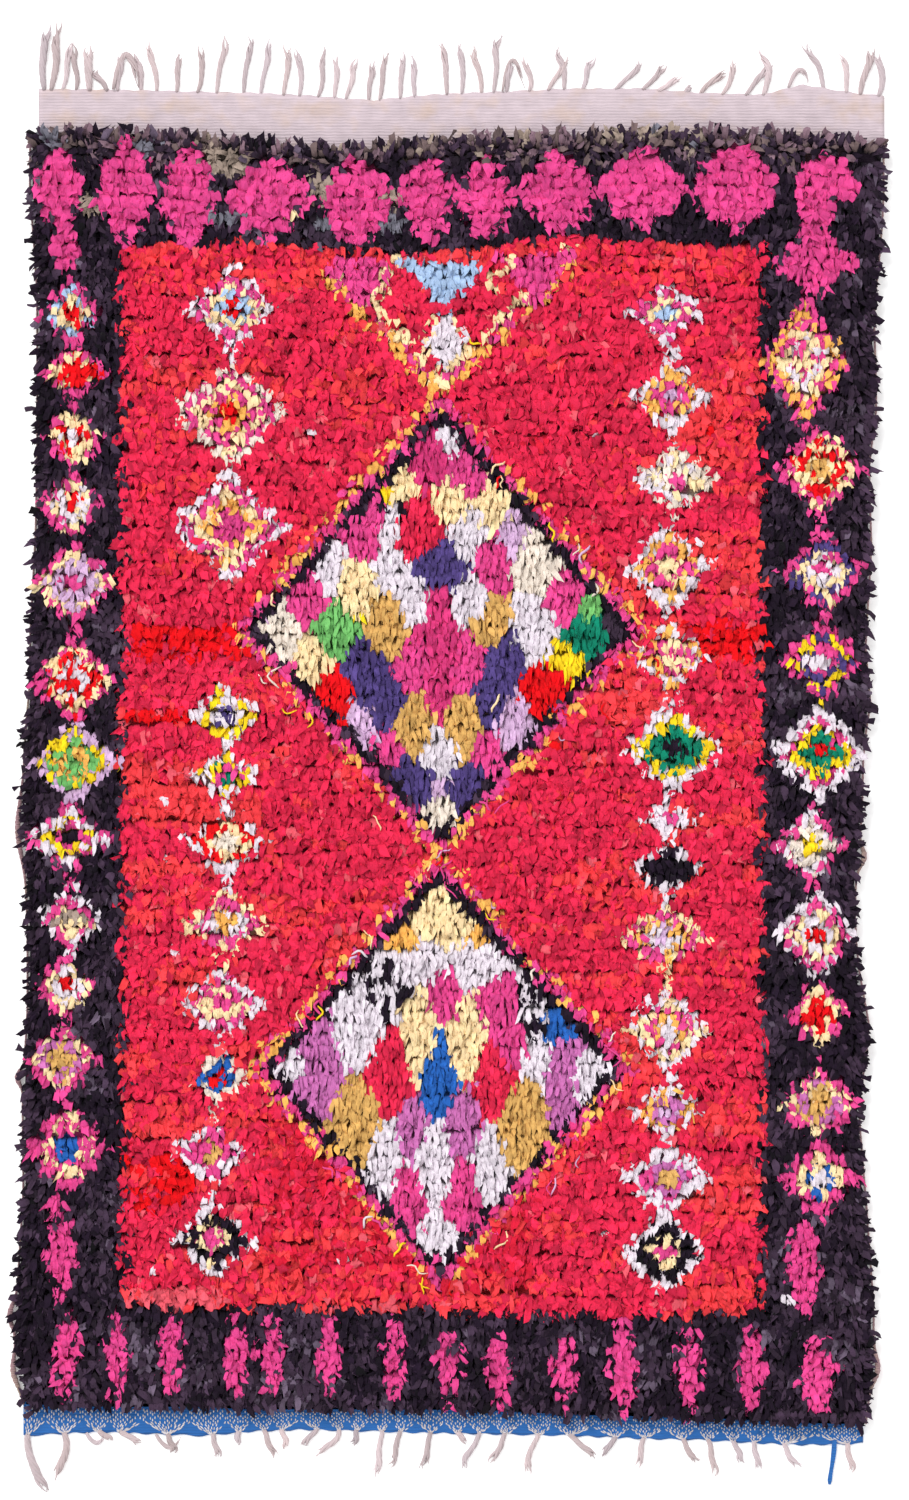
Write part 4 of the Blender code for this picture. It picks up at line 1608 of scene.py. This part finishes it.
@dataclass
class Ground:
    """The woven ground that the rags are knotted round, whose back shows the knots' colours."""

    outline: Outline
    chart: Chart
    weave: Weave = Weave(100, 98)

    def build(self) -> bpy.types.Object:
        """Makes the ground under the whole pile."""
        mesh = self.weave.drawn("ground_cloth", self.place)
        points = np.array([vert.co[:] for vert in mesh.vertices])
        rag = self.chart.read(points[:, 0], points[:, 1])[0]
        # Painted shade: the ground's top, under the pile, is painted darker than its underside
        shade = np.where(points[:, 2] > 1.0 * MM, 0.6, 0.8)
        colours = np.ones((len(points), 4), dtype=np.float32)
        colours[:, :3] = LINEAR[rag] * shade[:, None]
        layer = mesh.color_attributes.new(VERTEX_COLOUR, "FLOAT_COLOR", "POINT")
        layer.data.foreach_set("color", colours.ravel())
        return hang("ground_cloth", mesh, GROUND_CLOTH)

    def place(self, across: np.ndarray, along: np.ndarray) -> np.ndarray:
        """The flat underside's points."""
        x, y = self.outline.at(across, along)
        return np.stack([x, y, np.zeros_like(x)], axis=1)


@dataclass
class EndWeb:
    """The plain web past one end of the pile, between two cross edges."""

    name: str
    sides: tuple[float, float]
    pile_edge: Cross
    free_edge: Cross
    finish: Finish
    slot: str
    weave: Weave
    lift: Callable[[np.ndarray, np.ndarray], np.ndarray]
    waver: float = 1.0 * MM
    tuck: float = 10 * MM

    def build(self) -> bpy.types.Object:
        """Makes the web, which starts a little way under the pile."""
        return hang(self.name, self.weave.drawn(self.name, self.place), self.finish)

    def place(self, across: np.ndarray, along: np.ndarray) -> np.ndarray:
        """The underside's points."""
        low, high = (side - MIDDLE[0] for side in self.sides)
        x = low * (1 - across) + high * across
        near, far = edge_at(self.pile_edge, x), edge_at(self.free_edge, x)
        near = near - self.tuck * np.sign(far - near)
        y = near * (1 - along) + far * along
        # A web's free edge wavers with its wefts
        y += np.sign(far - near) * self.waver * along**4 * np.sin(x / 0.0065 + 1.5 * np.sin(x / 0.047))
        return np.stack([x, y, self.lift(x, y)], axis=1)


@dataclass(frozen=True)
class Strand:
    """One bundle of warp ends: its root, its sideways lean, its reach past the edge, its bow and its bulk."""

    root: float
    lean: float
    reach: float
    bow: float = 0.0
    bulk: float = 1.0


@dataclass(frozen=True)
class Loop:
    """A warp end that bends round from one root to another: its roots, and its turning point."""

    root: float
    end: float
    peak: float
    reach: float
    bulk: float = 0.6


WHITE_STRANDS = (
    Strand(-0.706, 0.004, 0.119, -0.004, 1.9),
    Strand(-0.694, 0.012, 0.122, 0.004, 1.9),
    Strand(-0.674, 0.012, 0.086, 0.004),
    Strand(-0.650, -0.012, 0.084, 0.006),
    Strand(-0.626, 0.006, 0.080, -0.006, 2.3),
    Strand(-0.595, -0.026, 0.036),
    Strand(-0.577, 0.012, 0.066, -0.004),
    Strand(-0.536, -0.014, 0.064, 0.004),
    Strand(-0.509, -0.015, 0.088, 0.003),
    Strand(-0.474, 0.007, 0.072),
    Strand(-0.438, -0.005, 0.089, 0.012),
    Strand(-0.404, 0.014, 0.100),
    Strand(-0.357, 0.011, 0.105),
    Strand(-0.327, 0.016, 0.098),
    Strand(-0.287, 0.011, 0.092),
    Strand(-0.259, -0.003, 0.087, 0.003),
    Strand(-0.227, 0.004, 0.090, 0.008),
    Strand(-0.198, 0.005, 0.083),
    Strand(-0.178, 0.022, 0.076),
    Strand(-0.138, 0.005, 0.076),
    Strand(-0.119, 0.016, 0.096),
    Strand(-0.083, -0.002, 0.093, 0.003),
    Strand(-0.058, -0.010, 0.078, 0.003),
    Strand(-0.001, -0.014, 0.090, 0.003),
    Strand(0.025, 0.001, 0.090),
    Strand(0.059, -0.018, 0.086, 0.004),
    Strand(0.081, 0.008, 0.108),
    Strand(0.103, 0.010, 0.062),
    Strand(0.143, -0.014, 0.060, 0.008),
    Strand(0.176, 0.044, 0.062, -0.004),
    Strand(0.204, -0.014, 0.080, 0.004),
    Strand(0.236, 0.018, 0.058),
    Strand(0.293, 0.046, 0.050, 0.004),
    Strand(0.341, 0.046, 0.044),
    Strand(0.368, 0.042, 0.022),
    Strand(0.413, 0.018, 0.010),
    Strand(0.442, 0.042, 0.036, -0.004),
    Strand(0.480, 0.024, 0.063, 0.006),
    Strand(0.521, 0.044, 0.058, 0.002),
    Strand(0.552, -0.008, 0.080, 0.012, 1.5),
    Strand(0.658, -0.034, 0.080, 0.006),
    Strand(0.698, -0.010, 0.071, 0.002),
    Strand(0.722, 0.022, 0.084, -0.002, 1.5),
    Strand(0.754, -0.006, 0.084, 0.009, 1.5),
)
WHITE_LOOPS = (
    Loop(-0.585, -0.538, -0.562, 0.062, 1.3),
    Loop(0.096, 0.136, 0.114, 0.054),
    Loop(0.596, 0.632, 0.616, 0.030, 0.9),
)
BLUE_STRANDS = (
    Strand(-0.735, 0.030, 0.100, -0.006, 1.9),
    Strand(-0.671, -0.022, 0.080, 0.014, 1.6),
    Strand(-0.610, 0.024, 0.016),
    Strand(-0.573, 0.040, 0.020),
    Strand(-0.489, 0.012, 0.034),
    Strand(-0.410, 0.008, 0.040),
    Strand(-0.364, -0.010, 0.022, 0.000, 1.3),
    Strand(-0.321, 0.020, 0.050),
    Strand(-0.291, 0.014, 0.034),
    Strand(-0.227, -0.028, 0.030),
    Strand(-0.190, -0.044, 0.044, 0.012),
    Strand(-0.159, -0.005, 0.026),
    Strand(-0.114, -0.012, 0.084),
    Strand(-0.082, -0.020, 0.062),
    Strand(-0.029, -0.012, 0.063, -0.003),
    Strand(0.017, 0.020, 0.016),
    Strand(0.057, -0.034, 0.064),
    Strand(0.101, -0.024, 0.052),
    Strand(0.160, -0.025, 0.070, -0.003),
    Strand(0.213, 0.042, 0.040, 0.004),
    Strand(0.295, -0.026, 0.030),
    Strand(0.344, -0.008, 0.052, -0.004),
    Strand(0.412, 0.024, 0.044),
    Strand(0.456, 0.007, 0.062, 0.004),
    Strand(0.500, 0.018, 0.040),
    Strand(0.537, 0.013, 0.054, -0.004),
    Strand(0.588, 0.024, 0.044),
    Strand(0.700, 0.006, 0.050),
)
BLUE_LOOPS = (
    Loop(-0.632, -0.600, -0.614, 0.018),
    Loop(-0.510, -0.466, -0.486, 0.022),
)
BLUE_TAIL = Strand(0.677, -0.008, 0.070)
BLUE_TAIL_HALF_WIDTH = 8.5 * MM
# How far a bundle swells over the usual, at shares of its length
SWELL_PLACES = (0.0, 0.1, 0.45, 0.85, 1.0)
SWELLS = (-0.5, -0.2, 0.0, 0.15, -0.1)


@dataclass
class Fringe:
    """The loose warp ends past one end of the rug, in bundles of twisted plies."""

    name: str
    strands: tuple[Strand, ...]
    loops: tuple[Loop, ...]
    edge: Cross
    outward: float
    dice: np.random.Generator
    taper: float
    width: float
    colour: tuple[int, int, int] = (199, 184, 189)
    plies: int = 5
    wisps: int = 2
    height: float = 0.6
    turns_per_metre: float = 13.0

    def build(self) -> bpy.types.Object:
        """Lays every bundle and loop, each from inside the web's edge."""
        tube = Tube.drawn(sides=5, rings=15)
        copies, colours = [], []
        for strand in self.strands:
            path, spread = self.path(strand, tube.rings)
            self.twist(tube, path, spread, strand.bulk, copies, colours)
        for loop in self.loops:
            path = self.bend(loop, tube.rings)
            self.twist(tube, path, np.zeros(tube.rings), loop.bulk, copies, colours)
        bale = Bale(self.name, WARP_COTTON, "white_cotton")
        bale.put_copies(tube, np.array(copies), np.array(colours))
        return bale.finished()

    def start(self, x: float) -> tuple[float, float]:
        """A root's place, from its place in the table."""
        across = x - MIDDLE[0]
        return across, float(edge_at(self.edge, np.array([across]))[0])

    def path(self, strand: Strand, rings: int) -> tuple[np.ndarray, np.ndarray]:
        """A bundle's middle line over the floor, and how far its plies spread at each ring."""
        share = np.linspace(0, 1, rings)
        across, edge = self.start(strand.root)
        waver = 4.5 * MM * np.sin(share * self.dice.uniform(4, 9) + self.dice.uniform(0, 6)) * share
        x = across + strand.lean * share + strand.bow * 4 * share * (1 - share) + waver
        y = edge + self.outward * (strand.reach * share - 2 * MM * (1 - share))
        rise = 0.8 * MM * np.clip(1 - 2.5 * share, 0, 1) + 0.7 * MM * np.sin(9 * share + across * 40)
        open_end = self.dice.uniform(1.5, 5.0) * MM
        spread = open_end * np.clip((share - 0.5) / 0.5, 0, 1) ** 1.5
        return np.stack([x, y, rise.clip(0)], axis=1), spread

    def bend(self, loop: Loop, rings: int) -> np.ndarray:
        """A loop's middle line."""
        share = np.linspace(0, 1, rings)
        (x0, y0), (x1, y1) = self.start(loop.root), self.start(loop.end)
        peak_x = 2 * (loop.peak - MIDDLE[0]) - (x0 + x1) / 2
        peak_y = (y0 + y1) / 2 + self.outward * 2 * loop.reach
        low, mid, high = (1 - share) ** 2, 2 * share * (1 - share), share**2
        x = low * x0 + mid * peak_x + high * x1
        y = low * y0 + mid * peak_y + high * y1
        return np.stack([x, y, 4 * MM * (1 - 4 * share * (1 - share))], axis=1)

    def twist(
        self,
        tube: Tube,
        path: np.ndarray,
        spread: np.ndarray,
        bulk: float,
        copies: list[np.ndarray],
        colours: list[np.ndarray],
    ) -> None:
        """Adds one bundle's plies, wound round its middle line.

        Args:
            tube: The tube that each ply is bent from.
            path: The middle line.
            spread: How far the plies spread.
            bulk: The bundle's thickness over the usual.
            copies: The plies' vertices, which grow.
            colours: Their colours, which grow.
        """
        share = np.linspace(0, 1, tube.rings)
        length = np.linalg.norm(np.diff(path, axis=0), axis=1).sum()
        swell = 1.0 + self.taper * np.interp(share, SWELL_PLACES, SWELLS)
        ply = self.width / 5 * math.sqrt(bulk) * swell
        ahead = np.gradient(path[:, :2], axis=0)
        ahead /= np.linalg.norm(ahead, axis=1, keepdims=True)
        side = np.stack([ahead[:, 1], -ahead[:, 0]], axis=1)
        shade = self.dice.normal(1.0, 0.08)
        warm = self.dice.uniform(0.0, 0.10)
        for number in range(self.plies + self.wisps):
            thin = 0.4 if number >= self.plies else 1.0
            turn = 2 * math.pi * (number / self.plies + share * length * self.turns_per_metre) + 5 * bulk
            wound = path.copy()
            wound[:, :2] += side * ((ply + spread * (2.2 - 1.2 * thin)) * np.cos(turn))[:, None]
            wound[:, 2] += self.height * (2 * ply + ply * np.sin(turn))
            # Each ply ends where it was cut, a little short of the others
            reach = 1.0 - self.dice.uniform(0.0, 0.30)
            wound[:, 0] += 1.2 * MM * np.sin(share * self.dice.uniform(6, 12) + 2.4 * number) * share
            wound = np.stack([np.interp(share * reach, share, wound[:, axis]) for axis in range(3)], axis=1)
            radius = thin * ply * np.clip(4.0 * (1.02 - share), 0.25, 1.0)
            copies.append(tube.laid(wound, radius, self.height))
            tone = np.array([1.0, 1.0 - 0.5 * warm, 1.0 - warm]) * shade * self.dice.normal(1.0, 0.03)
            colours.append(np.tile(as_linear(self.colour)[:3] * tone, (len(tube.ring), 1)).clip(0, 0.95))


@dataclass
class BlueWarps:
    """The white warps that show as dashes in the blue web, and gather into the roots of the fringe.

    missing is the share of the dashes that the rag hides, and colour is linear, from 0 to 1.
    """

    dice: np.random.Generator
    rows: int = 10
    pitch: float = 4.3 * MM
    width: float = 2.6 * MM
    missing: float = 0.12
    colour: tuple[float, float, float] = (0.74, 0.69, 0.71)

    def build(self) -> bpy.types.Object:
        """Lays a short float of each warp over every other weft."""
        tube = Tube.drawn(sides=4, rings=3)
        roots = [strand.root - MIDDLE[0] for strand in BLUE_STRANDS]
        low, high = (side - MIDDLE[0] for side in BLUE_WEB_SIDES)
        marks = [low] + [(a + b) / 2 for a, b in zip(roots, roots[1:])] + [high]
        copies, colours = [], []
        for root, start, stop in zip(roots, marks, marks[1:]):
            warps = max(3, round((stop - start) / self.pitch))
            for warp in range(warps):
                far = start + (stop - start) * (warp + 0.5) / warps
                for row in range(warp % 2, self.rows, 2):
                    if self.dice.random() < self.missing:
                        continue
                    copies.append(tube.laid(*self.dash(root, far, row / self.rows), 0.6))
                    tone = self.dice.normal(0.9, 0.08)
                    colours.append(np.tile(np.array(self.colour) * tone, (len(tube.ring), 1)))
        bale = Bale("blue_web_warps", WARP_COTTON, "white_cotton")
        bale.put_copies(tube, np.array(copies), np.array(colours))
        return bale.finished()

    def dash(self, root: float, far: float, share: float) -> tuple[np.ndarray, np.ndarray]:
        """One float's path and its radii.

        Args:
            root: Where its bundle's root is.
            far: Where the warp leaves the pile.
            share: How far up the web it lies, from the free edge.

        Returns:
            The path and the radii.
        """
        ends = share + np.array([0.01, 0.07, 0.13]) + self.dice.normal(0, 0.02)
        gather = np.clip(2.0 * ends, 0, 1) ** 0.8
        x = root * (1 - gather) + far * gather + self.dice.normal(0, 0.7 * MM)
        low, high = edge_at(Cross.BLUE_EDGE, x), edge_at(Cross.PILE_BOTTOM, x)
        y = low * (1 - ends) + high * ends
        z = 3.0 * MM + np.array([-0.4, 0.7, -0.4]) * MM
        return np.stack([x, y, z], axis=1), self.width / 2 * np.array([0.7, 1.0, 0.7])


LOOSE_LEFT = ((-1.080, 0.034), (-0.980, 0.026), (-0.565, 0.016), (-0.135, 0.060))
LOOSE_RIGHT = ((-1.075, 0.030), (-0.180, 0.020))


@dataclass
class Selvedge:
    """The warp cord along one long edge, overcast with yarn of changing colours.

    loose holds the middle and the half length, in metres, of each stretch that hangs out past the pile.
    """

    name: str
    outline: Outline
    outward: float
    dice: np.random.Generator
    loose: tuple[Pair, ...]
    radius: float = 3.4 * MM
    gap: float = 0.9 * MM
    loose_gap: float = 10.0 * MM
    wrap: float = 5.5 * MM
    sections: int = 12

    def build(self) -> bpy.types.Object:
        """Winds the cord in sections, each a tube whose radius swells at every wrap."""
        tube = Tube.drawn(sides=6, rings=56)
        edge = self.outline.left if self.outward < 0 else self.outline.right
        stops = np.linspace(edge[0][0], edge[0][-1], self.sections + 1)
        copies = []
        for start, stop in zip(stops, stops[1:]):
            y = np.linspace(start, stop, tube.rings)
            slack = np.zeros_like(y)
            for middle, half in self.loose:
                slack += np.exp(-(((y - middle) / half) ** 2))
            x = np.interp(y, *edge) + self.outward * (self.radius + self.gap + self.loose_gap * slack)
            path = np.stack([x, y, 1.14 * self.radius * (1 + slack)], axis=1)
            swell = self.radius * (1 + 1.6 * slack) * (1 + 0.14 * np.sin(2 * math.pi * y / self.wrap))
            copies.append(tube.laid(path, swell))
        bale = Bale(self.name, SELVEDGE_WOOL, "selvedge_yarn")
        bale.put_copies(tube, np.array(copies))
        return bale.finished()


FIRST_LOOSE_RAGS = ((0.0, -24.0), (-1.0, -20.0), (4.0, 72.0), (8.0, 9.0), (-2.0, 14.0))


@dataclass
class LooseRags:
    """Thin ends of rag that lie on the pile, along the medallions and where they meet.

    over is how far they lie above the pile's mean height, stray how far from the outline in centimetres,
    and keys their rags, each letter as likely as it is frequent.
    """

    pile: Pile
    dice: np.random.Generator
    count: int = 56
    over: float = 3.0 * MM
    stray: float = 1.6
    keys: str = "CCPPWIYLR"

    def build(self) -> bpy.types.Object:
        """Lays each end as a thin flattened strip, bent a little."""
        tube = Tube.drawn(sides=5, rings=7)
        copies, colours = [], []
        for x, y in self.spots():
            turn = math.pi / 2 + self.dice.normal(0, 0.7)
            length = self.dice.uniform(20, 40) * MM
            share = np.linspace(-0.5, 0.5, tube.rings)
            bend = self.dice.normal(0, 0.8)
            curl = 0.10 * np.sin(self.dice.uniform(5, 9) * share + self.dice.uniform(0, 6))
            ahead = np.array([math.cos(turn), math.sin(turn)])
            aside = np.array([-ahead[1], ahead[0]])
            sideways = bend * share**2 + curl
            flat = np.array([x, y]) + length * (share[:, None] * ahead + sideways[:, None] * aside)
            lump = self.pile.lumps(flat[:, 0], flat[:, 1]).mean()
            height = self.pile.pile_height * lump + self.over
            z = height + 2.0 * MM * np.cos(3 * share) + self.dice.normal(0, 0.8 * MM, tube.rings)
            radius = self.dice.uniform(1.2, 2.4) * MM * np.where(np.abs(share) > 0.4, 0.5, 1.0)
            copies.append(tube.laid(np.column_stack([flat, z]), radius, 0.7))
            key = self.dice.choice(list(self.keys))
            colours.append(np.tile(LINEAR[RAG_OF_KEY[str(key)]], (len(tube.ring), 1)))
        bale = Bale("loose_rag_ends", PILE_CLOTH, "rag_pile")
        bale.put_copies(tube, np.array(copies), np.array(colours))
        return bale.finished()

    def spots(self) -> list[tuple[float, float]]:
        """Where they lie: mostly on the medallions' outlines."""
        found = [(x * CM, y * CM) for x, y in FIRST_LOOSE_RAGS]
        while len(found) < self.count:
            shape = UPPER_MEDALLION if self.dice.random() < 0.55 else LOWER_MEDALLION
            share, up, right = self.dice.random(), self.dice.random() < 0.5, self.dice.random() < 0.5
            wide = (shape.right if right else -shape.left) * (1 - share)
            tall = (shape.up if up else -shape.down) * share
            x, y = shape.x + wide, shape.y + tall
            across, along = self.dice.normal(0, self.stray), self.dice.normal(0, self.stray)
            found.append(((x + across) * CM, (y + along) * CM))
        return found


def blue_tail() -> bpy.types.Object:
    """The loose end of blue rag past the lower edge, as a thin folded strip."""
    tube = Tube.drawn(sides=6, rings=12)
    share = np.linspace(0, 1, tube.rings)
    across = BLUE_TAIL.root - MIDDLE[0]
    edge = float(edge_at(Cross.BLUE_EDGE, np.array([across]))[0])
    x = across + BLUE_TAIL.lean * share + 1.0 * MM * np.sin(5 * share)
    y = edge + 8 * MM * (1 - share) - BLUE_TAIL.reach * share
    z = 2.2 * MM + 2.2 * MM * np.clip(1 - 4 * share, 0, 1)
    width = BLUE_TAIL_HALF_WIDTH * (0.9 + 0.12 * np.sin(7 * share)) * np.where(share > 0.95, 0.5, 1.0)
    bale = Bale("blue_rag_tail_strip", BLUE_WEB_CLOTH, "blue_rag")
    points = tube.laid(np.stack([x, y, z], axis=1), width, 0.35)
    bale.put_copies(tube, points[None])
    return bale.finished()


FLOOR_HALF_WIDTH = 8.0
FLOOR_GLOW = 0.25
SKY_STRENGTH = 0.86
WINDOW_STRENGTH = 1.75
WINDOW_SPREAD = 28.0  # degrees, as are its turns about X and Y
WINDOW_TURNS = (-38.0, -30.0)
CAMERA_HEIGHT = 12.0
CAMERA_SENSOR_MM = 36.0


def set_stage() -> None:
    """Lays the white floor, and sets the daylight and the camera over the middle of the photograph."""
    floor_mesh = bpy.data.meshes.new("floor")
    bm = bmesh.new()
    bmesh.ops.create_grid(bm, x_segments=1, y_segments=1, size=FLOOR_HALF_WIDTH)
    bm.to_mesh(floor_mesh)
    bm.free()
    floor = bpy.data.objects.new("floor", floor_mesh)
    floor.location.z = -0.5 * MM
    floor_mesh.materials.append(dress(FLOOR_PAINT))
    shader = floor_mesh.materials[0].node_tree.nodes["Principled BSDF"]
    shader.inputs["Emission Color"].default_value = (1.0, 1.0, 1.0, 1.0)
    shader.inputs["Emission Strength"].default_value = FLOOR_GLOW
    bpy.context.scene.collection.objects.link(floor)

    sky = bpy.data.worlds.new("daylight")
    sky.use_nodes = True
    sky.node_tree.nodes["Background"].inputs["Color"].default_value = (1.0, 1.0, 1.0, 1.0)
    sky.node_tree.nodes["Background"].inputs["Strength"].default_value = SKY_STRENGTH
    bpy.context.scene.world = sky
    lamp = bpy.data.lights.new("window", "SUN")
    lamp.energy = WINDOW_STRENGTH
    lamp.angle = math.radians(WINDOW_SPREAD)
    sun = bpy.data.objects.new("window", lamp)
    sun.rotation_euler = (math.radians(WINDOW_TURNS[0]), math.radians(WINDOW_TURNS[1]), 0.0)
    bpy.context.scene.collection.objects.link(sun)

    sight = bpy.data.cameras.new("camera")
    sight.sensor_width = CAMERA_SENSOR_MM
    sight.lens = CAMERA_SENSOR_MM * CAMERA_HEIGHT / (PHOTO_HEIGHT_PX * METRES_PER_PX)
    sight.clip_end = 50.0
    camera = bpy.data.objects.new("camera", sight)
    camera.location = (*PHOTO_MIDDLE, CAMERA_HEIGHT)
    bpy.context.scene.collection.objects.link(camera)
    bpy.context.scene.camera = camera
    bpy.context.scene.view_settings.view_transform = "Standard"


def main() -> None:
    dice = np.random.default_rng(SEED)
    chart = Chart(dice)
    outline = Outline.of_node("pile_cloth")
    set_stage()

    ground = Ground(outline, chart).build()
    pile = Pile(outline, chart, dice)
    pile_pieces = [*pile.build(), LooseRags(pile, dice).build()]
    for piece in [ground, *pile_pieces]:
        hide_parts("pile_cloth")
    for side, outward, loose in (("left", -1.0, LOOSE_LEFT), ("right", 1.0, LOOSE_RIGHT)):
        cord = Selvedge(f"selvedge_cord_{side}", outline, outward, dice, loose).build()
        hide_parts(f"selvedge_{side}")

    white_web = EndWeb(
        "white_web",
        WHITE_WEB_SIDES,
        Cross.PILE_TOP,
        Cross.WHITE_EDGE,
        WHITE_WEB_CLOTH,
        "white_cotton",
        Weave(220, 14),
        ripple,
    ).build()
    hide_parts("white_end_web")
    white_fringe = Fringe(
        "white_warp_ends",
        WHITE_STRANDS,
        WHITE_LOOPS,
        Cross.WHITE_EDGE,
        outward=1.0,
        dice=dice,
        taper=1.0,
        width=13.0 * MM,
    ).build()
    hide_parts("white_fringe")

    blue_web = EndWeb(
        "blue_web",
        BLUE_WEB_SIDES,
        Cross.PILE_BOTTOM,
        Cross.BLUE_EDGE,
        BLUE_WEB_CLOTH,
        "blue_rag",
        Weave(220, 9),
        lambda x, y: np.zeros_like(x),
        waver=1.6 * MM,
    ).build()
    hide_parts("blue_end_web")
    warps = BlueWarps(dice).build()
    blue_fringe = Fringe(
        "blue_end_warp_ends",
        BLUE_STRANDS,
        BLUE_LOOPS,
        Cross.BLUE_EDGE,
        outward=-1.0,
        dice=dice,
        taper=0.6,
        width=13.5 * MM,
    ).build()
    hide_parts("blue_end_fringe")
    tail = blue_tail()
    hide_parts("blue_rag_tail")


if __name__ == "__main__":
    logging.basicConfig(level=logging.INFO, format="%(message)s")
    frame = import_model()
    main()
